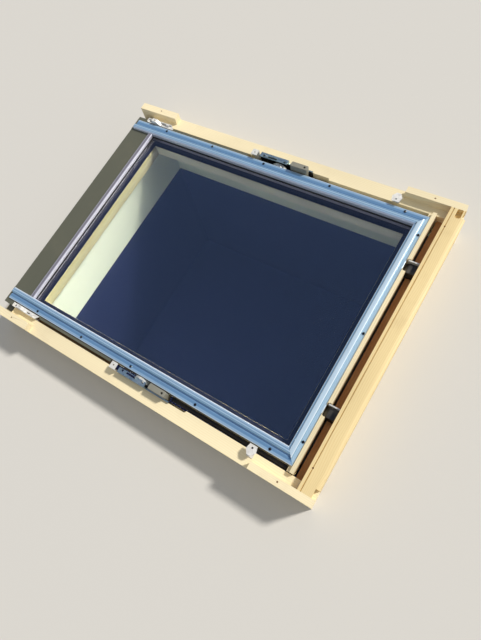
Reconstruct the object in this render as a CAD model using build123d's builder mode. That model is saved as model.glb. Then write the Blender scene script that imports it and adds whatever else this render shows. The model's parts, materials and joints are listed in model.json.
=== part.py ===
from build123d import *
import os

# Centre-pivot roof window of pine, before its outer covers go on.
# It lies closed on its frame: +X to the head, +Y to the far jamb, +Z outdoors,
# origin at the middle of the frame's underside. Sizes are in millimetres.

# Frame
frame_length = 980.0
frame_width = 780.0
jamb_height = 80.0
jamb_thickness = 38.5
end_rise = 22.0
sill_end_length = 131.0
sill_end_strip = 21.0
head_end_length = 151.0
head_end_strip = 17.5
head_thickness = 41.0
head_bevel = 9.0
corner_cut_length = 54.0
head_groove_width = 2.4
head_groove_depth = 3.0
head_groove_inset = 7.6
head_tongue_depth = 16.0
head_tongue_low = 42.0
head_tongue_high = 62.0
cable_pocket_size = 13.0
cable_pocket_length = 25.0
cable_pocket_depth = 14.0
cable_pocket_inset = 12.0
sill_thickness = 40.0
sill_height = 60.0
sill_ledge = 23.0
sill_chamfer = 1.5
sill_sheet_fit = 0.1
sill_sheet_skirt = 26.0
sill_sheet_setback = 2.0
sill_sheet_gap = 0.2
sill_sheet_wing_gap = 3.0
sill_seal = 2.0
sill_seal_inset = 3.0
sill_pin_inset = 72.0
head_pin_inset = 82.0
pin_side_inset = 9.5
head_pin_gap = 33.5
wood_pin_radius = 2.2
wood_pin_length = 24.0
wood_pin_sunk = 0.6
lining_groove_low = 8.0
lining_groove_width = 13.0
lining_groove_depth = 9.0

# Sash
sash_bottom = 40.0
sash_thickness = 44.0
head_gap = 21.0
sill_gap = 8.0
stile_gap = 13.5
rail_end_gap = 1.5
stile_width = 48.0
rail_width = 46.0
top_rail_width = 50.0
glass_rebate_depth = 30.0
stile_upstand = 16.0
bottom_upstand = 11.0
top_upstand = 17.0
top_strip_width = 9.5
top_strip_rise = 9.0
notch_radius = 6.0
stile_chamfer = 3.0
inner_lip_depth = 22.0
inner_lip_width = 24.0
inner_lip_gap = 4.0
pine_edge = 1.5

# Sealed glass unit
tape_thickness = 1.0
tape_setback = 0.5
pane_thickness = 4.0
cavity = 16.0
glass_edge_gap = 4.0
spacer_width = 7.0
spacer_inset = 12.0
block_length = 60.0
block_share = 0.6

# Aluminium claddings and their seals
sheet = 1.6
side_cladding_width = 34.0
side_groove_start = 13.0
side_groove_end = 18.0
side_groove_depth = 1.8
side_band_start = 20.5
side_lip = 3.5
top_cladding_width = 26.7
top_flange = 9.5
top_step = 21.5
top_step_depth = 4.0
flange_height = 6.0
band_rise = 5.0
hood_setback = 2.0
hood_width = 84.0
hood_sill_gap = 8.0
hood_wing_length = 37.0
hood_ridge_rise = 6.0
hood_ridge_width = 12.0
cladding_setback = 9.5
gasket_depth = 3.5
gasket_lip = 2.2
mitre_gap = 0.2

# Cladding screws
screw_head_radius = 3.4
screw_head_height = 2.0
screw_shank_radius = 2.0
screw_length = 18.0
screw_fit = 0.05
side_screw_shares = (0.125, 0.308, 0.496, 0.714, 0.935)
top_screw_end_gap = 22.5
side_screw_inset = 7.5
top_screw_inset = 4.9

# Friction hinge at mid length
pivot_x = 5.0
pivot_z = 64.0
drum_radius = 18.0
drum_fit = 0.05
ring_wall = 6.0
ring_length = 9.0
ring_plate_margin = 8.0
ring_plate_low_gap = 4.0
ring_plate_top_gap = 2.0
hinge_plate = 3.0
hinge_pocket_depth = 6.0
hinge_pocket_low = 44.0
hinge_pocket_start = -87.0
hinge_pocket_end = 148.0
hinge_pocket_radius = 5.5
frame_plate_start = -58.0
frame_plate_end = 100.0
frame_plate_low_gap = 4.0
frame_plate_rise = 6.0
flange_start = -54.0
flange_end = 30.0
hinge_flange_top = 98.0
hinge_flange_plate = 2.5
hinge_flange_reach = 13.5
flange_hole_radius = 3.0
flange_window_start = 24.0
flange_window_length = 28.0
flange_window_width = 5.0
flange_window_inset = 4.0
brake_box_start = 42.0
brake_box_length = 48.0
brake_box_top = 105.0
brake_box_low = 62.0
brake_box_corner = 3.0
brake_box_chamfer = 1.0
brake_hole_radius = 3.0
brake_hole_inset = 9.0
brake_hole_depth = 12.0
sash_clearance = 1.6

# Lugs and brackets that hold the outer covers
lug_thickness = 2.0
lug_top = 101.0
lug_hole_radius = 2.1
mid_lug_x = -70.5
mid_lug_length = 18.0
mid_lug_low_gap = 6.0
upper_lug_inset = 162.0
upper_lug_size = 25.0
upper_lug_root = 18.0
upper_lug_tip = 10.0
upper_lug_leg = 16.0
upper_lug_foot = 14.0
upper_lug_widest = 0.55
upper_lug_hole_radius = 2.5
upper_lug_leg_gap = 1.0
lug_hole_inset = 7.0
mid_lug_hole_inset = 8.0
bracket_gap = 1.0
bracket_length = 97.0
bracket_slant = 10.0
bracket_rim = 4.0
bracket_window_length = 8.0
bracket_window_width = 6.0
bracket_window_inset = 6.0
bracket_slot_x = 62.0
bracket_slot_length = 18.0
bracket_slot_width = 3.0
boss_start = 18.0
boss_length = 32.0
boss_top_start = 2.0
boss_top_length = 16.0
boss_hole_x = 10.0
boss_hole_inset = 4.5
boss_drop = 1.0
bracket_tab_x = 69.0
bracket_tab_length = 10.0
bracket_tab_rise = 5.0
bracket_tray = 89.0
bracket_low = 64.0

# Side seals
lath_gap = 2.0
side_seal_start = 97.0
lath_low = 44.0
lath_high = 60.0
side_gasket_gap = 93.0
side_gasket_width = 10.5
side_gasket_bulb = 4.5
side_gasket_wall = 1.3
side_gasket_foot = 4.0
side_gasket_z = 66.0
seal_strip_low = 68.0
seal_strip_high = 87.0
seal_strip_reach = 7.0

# Locks at the head and the ventilation flap with its control bar
lock_share = 0.5
keeper_length = 26.0
keeper_low = 42.0
keeper_high = 84.0
keeper_reach = 28.5
keeper_plate = 3.0
keeper_plate_setback = 1.5
keeper_plate_low_gap = 2.0
keeper_plate_rise = 8.0
keeper_clearance = 2.0
tongue_width = 12.0
tongue_height = 6.0
tongue_low = 45.5
tongue_length = 28.0
tongue_fit = 0.2
tongue_travel = 11.0
tongue_sunk = 0.3
tongue_chamfer = 1.5
keeper_screw_spacing = 14.0
keeper_screw_z = 68.0
keeper_screw_recess = 10.0
keeper_screw_grip = 18.0
keeper_slot_depth = 16.0
keeper_slot_play = 1.0
keeper_chamfer = 8.0
flap_axis_inset = 32.0
flap_axis_z = 35.0
flap_depth = 47.0
flap_plate = 4.0
flap_end_gap = 12.0
flap_rest_angle = 20.0
flap_bead = 4.0
flap_seal_x = 40.0
flap_seal_width = 7.0
flap_seal_depth = 4.5
bar_radius = 7.0
bar_wall = 1.8
bar_drop = 11.0
flap_cap = 3.0
pin_radius = 2.5
pin_fit = 0.05
ear_gap = 2.0
ear_thickness = 4.0
ear_radius = 4.8
ear_foot = 34.0
ear_foot_width = 6.0
ear_foot_thickness = 3.0
ear_screw_spacing = 22.0

# Wood screws; heads and shanks have flats in place of round faces
head_flats = 8
shank_flats = 6
wood_screw_radius = 1.9
wood_screw_head = 3.4
wood_screw_head_height = 1.8
screw_hole_spare = 3.0
plate_screw_length = 20.0
plate_screw_start_inset = 8.0
plate_screw_end_inset = 5.0
plate_screw_drop = 8.0
mid_lug_screw_length = 18.0
mid_lug_screw_drop = 2.0
bracket_screw_length = 16.0
bracket_screw_inset = 12.0
bracket_screw_rise = 7.0
ring_screw_length = 16.0
ring_screw_x = 27.0
ring_screw_z = 14.0
ear_screw_length = 12.0
corner_screw_radius = 2.5
corner_screw_head = 5.0
corner_screw_head_height = 3.0
corner_screw_head_fit = 0.2
corner_screw_sunk = 8.0
corner_screw_length = 60.0
head_screw_heights = (30.0, 70.0)
sill_screw_heights = (18.0, 44.0)

os.makedirs("parts", exist_ok=True)

# Places that follow from the sizes above
half_length = frame_length / 2
half_width = frame_width / 2
jamb_inner = half_width - jamb_thickness
frame_top = jamb_height + end_rise
head_inner = half_length - head_thickness
sill_inner = -half_length + sill_thickness
sash_top = sash_bottom + sash_thickness
sash_head = head_inner - head_gap
sash_sill = sill_inner + sill_gap
stile_outer = jamb_inner - stile_gap
stile_inner = stile_outer - stile_width
rail_end = jamb_inner - rail_end_gap
lip_low = sash_bottom - inner_lip_depth
lip_start = sill_inner + sill_ledge + inner_lip_gap
rebate_low = sash_top - glass_rebate_depth
rebate_side = stile_outer - stile_upstand
rebate_sill = sash_sill + bottom_upstand
rebate_head = sash_head - top_upstand
top_strip_inner = sash_head - top_strip_width
clad_outer = stile_outer - pine_edge
clad_inner = clad_outer - side_cladding_width
clad_head = top_strip_inner
clad_head_inner = clad_head - top_cladding_width
hood_start = -half_length + hood_setback
hood_inner = hood_start + hood_width
hood_low = sill_height + sheet + hood_sill_gap
clad_sill = hood_start + cladding_setback
flange_top = sash_top + flange_height
band_top = flange_top + band_rise
glass_low = rebate_low + tape_thickness
glass_side = rebate_side - glass_edge_gap
glass_sill = rebate_sill + glass_edge_gap
glass_head = rebate_head - glass_edge_gap
glass_top = glass_low + 2 * pane_thickness + cavity
gasket_top = glass_top + gasket_depth
side_screw_x = [clad_sill + share * (clad_head - clad_sill) for share in side_screw_shares]
top_screw_y = (-clad_inner + top_screw_end_gap, 0, clad_inner - top_screw_end_gap)
head_pin_y = jamb_inner - head_pin_gap
upper_lug_x = half_length - upper_lug_inset
bracket_start = sill_inner + bracket_gap
bracket_end = bracket_start + bracket_length
lath_start = sill_inner + lath_gap
lath_end = pivot_x - side_seal_start
strip_start = bracket_end + lath_gap
side_gasket_start = pivot_x + side_gasket_gap
lock_offset = half_width * lock_share
flap_axis_x = sash_head - flap_axis_inset
half_flap = stile_outer - flap_end_gap
sides = (("near", -1), ("far", 1))


def across(side, inner, outer):
    """Lowest and highest Y of something between two distances from the middle."""
    return min(side * inner, side * outer), max(side * inner, side * outer)


def block(x_range, y_range, z_range, mode=Mode.ADD):
    """A straight block between two corners, in the part being built."""
    with BuildSketch(Plane.XY.offset(z_range[0])) as base:
        with Locations(((x_range[0] + x_range[1]) / 2, (y_range[0] + y_range[1]) / 2)):
            Rectangle(x_range[1] - x_range[0], y_range[1] - y_range[0])
    extrude(base.sketch, amount=z_range[1] - z_range[0], mode=mode)


def rod(plane, centre, length, radius, flats, mode):
    """A rod or hole along a plane's normal, round or with a number of flats."""
    with BuildSketch(plane) as disc:
        with Locations(centre):
            if flats:
                RegularPolygon(radius, flats)
            else:
                Circle(radius)
    extrude(disc.sketch, amount=length, mode=mode)


def upright_rod(centre_x, centre_y, low, high, radius, flats=0, mode=Mode.ADD):
    """A rod or hole along Z."""
    rod(Plane.XY.offset(low), (centre_x, centre_y), high - low, radius, flats, mode)


def cross_rod(centre_x, centre_z, y_range, radius, flats=0, mode=Mode.ADD):
    """A rod or hole along Y."""
    rod(Plane.XZ.offset(-y_range[1]), (centre_x, centre_z), y_range[1] - y_range[0], radius, flats, mode)


def long_rod(centre_y, centre_z, x_range, radius, flats=0, mode=Mode.ADD):
    """A rod or hole along X."""
    rod(Plane.YZ.offset(x_range[0]), (centre_y, centre_z), x_range[1] - x_range[0], radius, flats, mode)


def save(piece, node):
    """Labels a finished piece and writes its STEP file."""
    piece.part.label = node
    export_step(piece.part, f"parts/{node}.step")


# Places of the screws that go into the frame, as (x, z)
head_screw_places = [(half_length - head_thickness / 2, height) for height in head_screw_heights]
sill_screw_places = [(-half_length + sill_thickness / 2, height) for height in sill_screw_heights]
corner_screw_places = head_screw_places + sill_screw_places
plate_screw_places = [(frame_plate_start + plate_screw_start_inset, pivot_z - plate_screw_drop),
                      (frame_plate_end - plate_screw_end_inset, pivot_z - plate_screw_drop)]
mid_lug_screw = (mid_lug_x, pivot_z - mid_lug_screw_drop)
bracket_screw_places = [(bracket_start + bracket_screw_inset, bracket_low + bracket_screw_rise),
                        (bracket_end - bracket_screw_inset, bracket_low + bracket_screw_rise)]
ring_screw_places = [(pivot_x + dx, pivot_z + dz) for dx in (-ring_screw_x, ring_screw_x)
                     for dz in (-ring_screw_z, ring_screw_z)]
plate_outer = jamb_inner + hinge_pocket_depth
plate_face = plate_outer - hinge_plate
groove_x = head_inner + head_groove_inset
jamb_pin_x = (-half_length + sill_pin_inset, half_length - head_pin_inset)
jamb_pin_y = half_width - pin_side_inset


def screw_row(side, places, head_face, radius, head_radius, head_height, length, inward=False):
    """Screws along Y: heads that end on a face, and shanks that run on from it."""
    way = -1 if inward else 1
    for screw_x, screw_z in places:
        cross_rod(screw_x, screw_z, across(side, head_face - way * head_height, head_face), head_radius,
                  head_flats)
        cross_rod(screw_x, screw_z, across(side, head_face, head_face + way * length), radius, shank_flats)


def screw_holes(side, places, start, end, radius, flats=shank_flats):
    """Holes along Y for screws, between two distances from the middle."""
    for screw_x, screw_z in places:
        cross_rod(screw_x, screw_z, across(side, start, end), radius + screw_fit, flats, Mode.SUBTRACT)


# Jambs: full-length pine boards with raised outer strips at both ends
for name, side in sides:
    with BuildPart() as jamb:
        block((-half_length, half_length), across(side, jamb_inner, half_width), (0, jamb_height))
        block((-half_length, -half_length + sill_end_length),
              across(side, half_width - sill_end_strip, half_width), (jamb_height, frame_top))
        block((half_length - head_end_length, half_length),
              across(side, half_width - head_end_strip, half_width), (jamb_height, frame_top))
        # The inner corner over the sill is cut down to the sill's top
        block((-half_length, sill_inner + sill_sheet_setback),
              across(side, jamb_inner, half_width - sill_end_strip), (sill_height, jamb_height),
              mode=Mode.SUBTRACT)
        # Groove for the indoor lining
        block((sill_inner, head_inner), across(side, jamb_inner, jamb_inner + lining_groove_depth),
              (lining_groove_low, lining_groove_low + lining_groove_width), mode=Mode.SUBTRACT)
        # Routed pocket for the hinge, open at the top and round at its ends
        with BuildSketch(Plane.XY.offset(hinge_pocket_low)) as pocket:
            with Locations(((hinge_pocket_start + hinge_pocket_end) / 2, side * jamb_inner)):
                RectangleRounded(hinge_pocket_end - hinge_pocket_start, 2 * hinge_pocket_depth,
                                 hinge_pocket_radius)
        extrude(amount=jamb_height - hinge_pocket_low, mode=Mode.SUBTRACT)
        screw_holes(side, corner_screw_places, jamb_inner, half_width, corner_screw_radius)
        screw_holes(side, corner_screw_places, half_width - corner_screw_sunk, half_width, corner_screw_head,
                    head_flats)
        screw_holes(side, plate_screw_places + [mid_lug_screw], jamb_inner,
                    plate_face + plate_screw_length + screw_hole_spare, wood_screw_radius)
        screw_holes(side, bracket_screw_places, jamb_inner, jamb_inner + bracket_screw_length,
                    wood_screw_radius)
        for pin_x in jamb_pin_x:
            upright_rod(pin_x, side * jamb_pin_y, frame_top - wood_pin_length, frame_top,
                        wood_pin_radius + pin_fit, head_flats, Mode.SUBTRACT)
        if side > 0:
            # The outer head corner is sawn off at a slant
            with BuildSketch(Plane.XY) as corner:
                with BuildLine():
                    Polyline((half_length, half_width - corner_cut_length), (half_length, half_width),
                             (half_length - head_bevel, half_width), close=True)
                make_face()
            extrude(amount=frame_top, mode=Mode.SUBTRACT)
    save(jamb, f"jamb_{name}")

# Head: pine board between the jambs, grooved on top, with a tongue over the flap
with BuildPart() as head:
    with BuildSketch(Plane.XZ) as head_section:
        with BuildLine():
            Polyline((head_inner, 0), (half_length, 0), (half_length, frame_top - head_bevel / 2),
                     (half_length - head_bevel, frame_top), (head_inner, frame_top),
                     (head_inner, head_tongue_high), (head_inner - head_tongue_depth, head_tongue_high),
                     (head_inner - head_tongue_depth, head_tongue_low), (head_inner, head_tongue_low),
                     close=True)
        make_face()
        with Locations((groove_x, frame_top)):
            Rectangle(head_groove_width, 2 * head_groove_depth, mode=Mode.SUBTRACT)
        with Locations((head_inner, lining_groove_low + lining_groove_width / 2)):
            Rectangle(2 * lining_groove_depth, lining_groove_width, mode=Mode.SUBTRACT)
    extrude(amount=jamb_inner, both=True)
    # Above the jambs' ledges the board runs on to the raised strips
    for name, side in sides:
        block((head_inner, half_length - head_bevel),
              across(side, jamb_inner, half_width - head_end_strip), (jamb_height, frame_top))
        block((groove_x - head_groove_width / 2, groove_x + head_groove_width / 2),
              across(side, jamb_inner, half_width - head_end_strip),
              (frame_top - head_groove_depth, frame_top), mode=Mode.SUBTRACT)
        # The tongue is cut away around the lock keepers
        lock_y = side * lock_offset
        block((head_inner - head_tongue_depth, head_inner),
              (lock_y - keeper_length / 2 - keeper_clearance,
               lock_y + keeper_length / 2 + keeper_plate + keeper_clearance),
              (head_tongue_low, head_tongue_high), mode=Mode.SUBTRACT)
        upright_rod(groove_x, side * head_pin_y, frame_top - wood_pin_length, frame_top,
                    wood_pin_radius + pin_fit, head_flats, Mode.SUBTRACT)
        screw_holes(side, head_screw_places, half_width - corner_screw_length, half_width,
                    corner_screw_radius)
        for screw_y in (lock_y - keeper_screw_spacing / 2, lock_y + keeper_screw_spacing / 2):
            long_rod(screw_y, keeper_screw_z, (head_inner, head_inner + keeper_screw_grip + screw_hole_spare),
                     wood_screw_radius + screw_fit, shank_flats, Mode.SUBTRACT)
    # Pocket for a cable near the far end
    pocket_end = half_width - head_end_strip
    with BuildSketch(Plane.XY.offset(frame_top - cable_pocket_depth)):
        with Locations((half_length - cable_pocket_inset - cable_pocket_size / 2,
                        pocket_end - cable_pocket_length / 2)):
            RectangleRounded(cable_pocket_size, cable_pocket_length, 4)
    extrude(amount=cable_pocket_depth, mode=Mode.SUBTRACT)
save(head, "head")

# Sill: lower pine board with a ledge that the closed sash rests on
sheet_seat = sheet + sill_sheet_fit
with BuildPart() as sill:
    with BuildSketch(Plane.XZ) as sill_section:
        with BuildLine():
            Polyline((-half_length + sheet_seat, 0), (sill_inner + sill_ledge, 0),
                     (sill_inner + sill_ledge, sash_bottom - sill_seal), (sill_inner, sash_bottom - sill_seal),
                     (sill_inner, sill_height), (-half_length + sheet_seat + sill_chamfer, sill_height),
                     (-half_length + sheet_seat, sill_height - sill_chamfer), close=True)
        make_face()
        with Locations((sill_inner + sill_ledge, lining_groove_low + lining_groove_width / 2)):
            Rectangle(2 * lining_groove_depth, lining_groove_width, mode=Mode.SUBTRACT)
    extrude(amount=jamb_inner, both=True)
    for name, side in sides:
        screw_holes(side, sill_screw_places, half_width - corner_screw_length, half_width,
                    corner_screw_radius)
save(sill, "sill")

# Folded sheet over the sill, between the raised strips of the jambs
with BuildPart() as sill_sheet:
    with BuildSketch(Plane.XZ):
        with BuildLine():
            FilletPolyline((-half_length + sheet / 2, sill_height - sill_sheet_skirt),
                           (-half_length + sheet / 2, sill_height + sheet / 2),
                           (sill_inner - sill_sheet_setback, sill_height + sheet / 2), radius=1.5)
        trace(line_width=sheet)
    extrude(amount=jamb_inner - sill_sheet_gap, both=True)
    for name, side in sides:
        block((-half_length + sill_sheet_wing_gap, sill_inner - sill_sheet_setback),
              across(side, jamb_inner - 1, half_width - sill_end_strip - sill_sheet_wing_gap),
              (sill_height, sill_height + sheet))
save(sill_sheet, "sill_sheet")

# Foam seal between the sill's ledge and the sash
with BuildPart() as sill_gasket:
    block((sill_inner + sill_seal_inset, sill_inner + sill_ledge - sill_seal_inset),
          (-stile_outer + sill_seal_inset, stile_outer - sill_seal_inset),
          (sash_bottom - sill_seal, sash_bottom))
save(sill_gasket, "sill_gasket")

# Wooden pins in the jambs' raised ends and in the head's groove
with BuildPart() as corner_pins:
    for name, side in sides:
        for pin_x in jamb_pin_x:
            upright_rod(pin_x, side * jamb_pin_y, frame_top - wood_pin_length, frame_top - wood_pin_sunk,
                        wood_pin_radius, head_flats)
        upright_rod(groove_x, side * head_pin_y, frame_top - wood_pin_length, frame_top - head_groove_depth,
                    wood_pin_radius, head_flats)
save(corner_pins, "corner_pins")

# Laths in the side gaps of the lower half, for the sash's seal strips
lath_inner = stile_outer + sash_clearance
with BuildPart() as stop_laths:
    for name, side in sides:
        block((lath_start, lath_end), across(side, lath_inner, jamb_inner), (lath_low, lath_high))
save(stop_laths, "stop_laths")

# Stiles: pine, rebated for the glass, with a shallow seat for the hinge plate
ring_plate_reach = drum_radius + ring_wall + ring_plate_margin
ring_plate_x = (pivot_x - ring_plate_reach, pivot_x + ring_plate_reach)
ring_plate_z = (sash_bottom + ring_plate_low_gap, sash_top - ring_plate_top_gap)
side_screw_y = clad_outer - side_screw_inset
for name, side in sides:
    with BuildPart() as stile:
        block((sash_sill, rebate_head), across(side, stile_inner, stile_outer), (sash_bottom, sash_top))
        block((rebate_sill, rebate_head), across(side, stile_inner, rebate_side), (rebate_low, sash_top),
              mode=Mode.SUBTRACT)
        # Deeper lip along the room side, past the sill's ledge
        block((lip_start, sash_head - top_rail_width), across(side, stile_inner, stile_inner + inner_lip_width),
              (lip_low, sash_bottom))
        # Softened inner edge towards the room
        under_edges = stile.edges().filter_by(Axis.X).group_by(Axis.Z)[0].sort_by(Axis.Y)
        chamfer(under_edges[0 if side > 0 else -1], length=stile_chamfer)
        block(ring_plate_x, across(side, stile_outer - hinge_plate, stile_outer), ring_plate_z,
              mode=Mode.SUBTRACT)
        for screw_x in side_screw_x:
            upright_rod(screw_x, side * side_screw_y, flange_top - screw_length, sash_top,
                        screw_shank_radius + screw_fit, shank_flats, Mode.SUBTRACT)
        screw_holes(side, ring_screw_places, stile_outer - ring_screw_length - 2 * wood_screw_head_height,
                    stile_outer, wood_screw_radius)
        ear_y = side * (half_flap + flap_cap + ear_gap + ear_thickness / 2)
        for screw_x in (flap_axis_x - ear_screw_spacing / 2, flap_axis_x + ear_screw_spacing / 2):
            upright_rod(screw_x, ear_y, sash_bottom, sash_bottom + ear_screw_length + screw_hole_spare,
                        wood_screw_radius + screw_fit, shank_flats, Mode.SUBTRACT)
    save(stile, f"stile_{name}")

# Bottom rail between the stiles
with BuildPart() as bottom_rail:
    block((sash_sill, sash_sill + rail_width), (-stile_inner, stile_inner), (sash_bottom, sash_top))
    block((lip_start, sash_sill + rail_width), (-stile_inner, stile_inner), (lip_low, sash_bottom))
    block((rebate_sill, sash_sill + rail_width), (-stile_inner, stile_inner), (rebate_low, sash_top),
          mode=Mode.SUBTRACT)
save(bottom_rail, "bottom_rail")

# Top rail: full width, with an upstand that carries the cladding and two lock notches
notch_low = -keeper_length / 2 - keeper_clearance
notch_high = keeper_length / 2 + keeper_plate + keeper_clearance
with BuildPart() as top_rail:
    block((rebate_head, sash_head), (-rail_end, rail_end), (sash_bottom, sash_top))
    block((top_strip_inner, sash_head), (-rail_end, rail_end), (sash_top, sash_top + top_strip_rise))
    block((sash_head - top_rail_width, rebate_head), (-stile_inner, stile_inner),
          (sash_bottom, rebate_low))
    for name, side in sides:
        lock_y = side * lock_offset
        with BuildSketch(Plane.XY.offset(sash_bottom)) as notch:
            with Locations((sash_head, lock_y + (notch_low + notch_high) / 2)):
                RectangleRounded(2 * top_strip_width, notch_high - notch_low, notch_radius)
        extrude(amount=sash_thickness + top_strip_rise, mode=Mode.SUBTRACT)
        # Channel of the lock tongue
        block((top_strip_inner - tongue_length - tongue_travel, top_strip_inner + 1),
              (lock_y - tongue_width / 2 - tongue_fit, lock_y + tongue_width / 2 + tongue_fit),
              (tongue_low - tongue_fit, tongue_low + tongue_height + tongue_fit), mode=Mode.SUBTRACT)
    for screw_y in top_screw_y:
        upright_rod(clad_head - top_screw_inset, screw_y, sash_top - screw_length + flange_height, sash_top,
                    screw_shank_radius + screw_fit, shank_flats, Mode.SUBTRACT)
save(top_rail, "top_rail")


def glass_plate(low, high, inset=0.0):
    """A rectangle as large as the glass, less an inset, between two heights."""
    block((glass_sill + inset, glass_head - inset), (-glass_side + inset, glass_side - inset), (low, high))


def cut_opening(low, high, sill_edge, head_edge, side_edge):
    """Cuts the clear middle out of a ring that runs around the glass."""
    block((sill_edge, head_edge), (-side_edge, side_edge), (low, high), mode=Mode.SUBTRACT)


# Sealed unit: two panes, a spacer between them and a sealant around the spacer
with BuildPart() as inner_pane:
    glass_plate(glass_low, glass_low + pane_thickness)
save(inner_pane, "inner_pane")

with BuildPart() as outer_pane:
    glass_plate(glass_top - pane_thickness, glass_top)
save(outer_pane, "outer_pane")

cavity_low = glass_low + pane_thickness
cavity_high = glass_top - pane_thickness
with BuildPart() as spacer:
    glass_plate(cavity_low, cavity_high, spacer_inset - spacer_width)
    cut_opening(cavity_low, cavity_high, glass_sill + spacer_inset, glass_head - spacer_inset,
                glass_side - spacer_inset)
save(spacer, "glass_spacer")

with BuildPart() as edge_sealant:
    glass_plate(cavity_low, cavity_high)
    cut_opening(cavity_low, cavity_high, glass_sill + spacer_inset - spacer_width,
                glass_head - spacer_inset + spacer_width, glass_side - spacer_inset + spacer_width)
save(edge_sealant, "edge_sealant")

with BuildPart() as glazing_tape:
    glass_plate(rebate_low, glass_low)
    cut_opening(rebate_low, glass_low, sash_sill + rail_width - tape_setback,
                sash_head - top_rail_width + tape_setback, stile_inner + tape_setback)
save(glazing_tape, "glazing_tape")

with BuildPart() as glazing_gasket:
    glass_plate(glass_top, gasket_top)
    cut_opening(glass_top, gasket_top, hood_inner + gasket_lip, clad_head_inner - gasket_lip,
                clad_inner - gasket_lip)
save(glazing_gasket, "glazing_gasket")

with BuildPart() as setting_blocks:
    for block_y in (-block_share * glass_side, block_share * glass_side):
        block((rebate_sill, glass_sill), (block_y - block_length / 2, block_y + block_length / 2),
              (rebate_low, glass_top))
save(setting_blocks, "setting_blocks")


def mitre_cut(side, way):
    """Cuts a cladding along the slanted joint at a head corner; way is +1 or -1 along X."""
    reach = Vector(top_cladding_width / 2, side * side_cladding_width / 2)
    start = Vector(clad_head_inner - way * mitre_gap / 2, side * clad_inner) - reach
    end = Vector(clad_head - way * mitre_gap / 2, side * clad_outer) + reach
    away = Vector(way * 2 * top_cladding_width, 0)
    with BuildSketch(Plane.XY.offset(sash_bottom)) as wedge:
        with BuildLine():
            Polyline(start, end, end + away, start + away, close=True)
        make_face()
    extrude(wedge.sketch, amount=band_top + 1 - sash_bottom, mode=Mode.SUBTRACT)


# Side claddings: extruded aluminium with a screw flange, a groove, a raised band and an inner lip
half_sheet = sheet / 2
for name, side in sides:
    with BuildPart() as side_cladding:
        with BuildSketch(Plane.YZ.offset(clad_sill)):
            with BuildLine():
                section = [(half_sheet, sash_top), (half_sheet, flange_top - half_sheet),
                           (side_groove_start, flange_top - half_sheet),
                           (side_groove_start + side_groove_depth, flange_top - half_sheet - side_groove_depth),
                           (side_groove_end, flange_top - half_sheet - side_groove_depth),
                           (side_band_start, band_top - half_sheet),
                           (side_cladding_width - side_lip, band_top - half_sheet),
                           (side_cladding_width - half_sheet, band_top - side_lip),
                           (side_cladding_width - half_sheet, gasket_top)]
                FilletPolyline(*[(side * (clad_outer - w), z) for w, z in section], radius=1)
            trace(line_width=sheet)
        extrude(amount=clad_head - clad_sill)
        # Cut short of the bottom cladding, which passes underneath
        block((clad_sill - 1, hood_inner + 1), across(side, clad_inner - 1, clad_outer + 1),
              (sash_bottom, sash_top + sheet + 0.4), mode=Mode.SUBTRACT)
        mitre_cut(side, 1)
        for screw_x in side_screw_x:
            upright_rod(screw_x, side * side_screw_y, sash_top, flange_top, screw_shank_radius + screw_fit,
                        shank_flats, Mode.SUBTRACT)
    save(side_cladding, f"side_cladding_{name}")

# Top cladding: a narrower extrusion, mitred to the side claddings
with BuildPart() as top_cladding:
    with BuildSketch(Plane.XZ):
        with BuildLine():
            section = [(half_sheet, sash_top), (half_sheet, flange_top - half_sheet),
                       (top_flange, flange_top - half_sheet), (top_flange + 1, band_top - half_sheet),
                       (top_step - 1, band_top - half_sheet), (top_step, band_top - top_step_depth),
                       (top_cladding_width - half_sheet, band_top - top_step_depth),
                       (top_cladding_width - half_sheet, gasket_top)]
            FilletPolyline(*[(clad_head - w, z) for w, z in section], radius=0.9)
        trace(line_width=sheet)
    extrude(amount=clad_outer, both=True)
    for name, side in sides:
        mitre_cut(side, -1)
    for screw_y in top_screw_y:
        upright_rod(clad_head - top_screw_inset, screw_y, sash_top, flange_top,
                    screw_shank_radius + screw_fit, shank_flats, Mode.SUBTRACT)
save(top_cladding, "top_cladding")

# Bottom cladding: a wide folded hood over the bottom rail and the sill, with a raised ridge
hood_top = sash_top + sheet
with BuildPart() as bottom_cladding:
    with BuildSketch(Plane.XZ):
        with BuildLine():
            ridge_start = hood_inner - hood_ridge_width
            FilletPolyline((hood_start + half_sheet, hood_low),
                           (hood_start + half_sheet, hood_top - half_sheet),
                           (ridge_start - 2, hood_top - half_sheet),
                           (ridge_start, hood_top + hood_ridge_rise - half_sheet),
                           (hood_inner - half_sheet, hood_top + hood_ridge_rise - half_sheet),
                           (hood_inner - half_sheet, gasket_top), radius=1.2)
        trace(line_width=sheet)
    extrude(amount=clad_inner - 0.4, both=True)
    for name, side in sides:
        wing_end = hood_start + hood_wing_length
        block((hood_start + sheet, wing_end), across(side, clad_inner - 1, rail_end),
              (sash_top, hood_top))
        block((hood_start, hood_start + sheet), across(side, clad_inner - 1, rail_end),
              (hood_low, hood_top))
        block((hood_start + sheet, wing_end), across(side, rail_end - sheet, rail_end),
              (hood_low, sash_top))
save(bottom_cladding, "bottom_cladding")

# Pan-head screws of the claddings
with BuildPart() as cladding_screws:
    places = [(screw_x, side * side_screw_y, screw_length) for name, side in sides for screw_x in side_screw_x]
    places += [(clad_head - top_screw_inset, screw_y, screw_length - flange_height) for screw_y in top_screw_y]
    for screw_x, screw_y, length in places:
        upright_rod(screw_x, screw_y, flange_top - length, flange_top, screw_shank_radius, shank_flats)
        upright_rod(screw_x, screw_y, flange_top, flange_top + screw_head_height, screw_head_radius,
                    head_flats)
save(cladding_screws, "cladding_screws")

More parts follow.
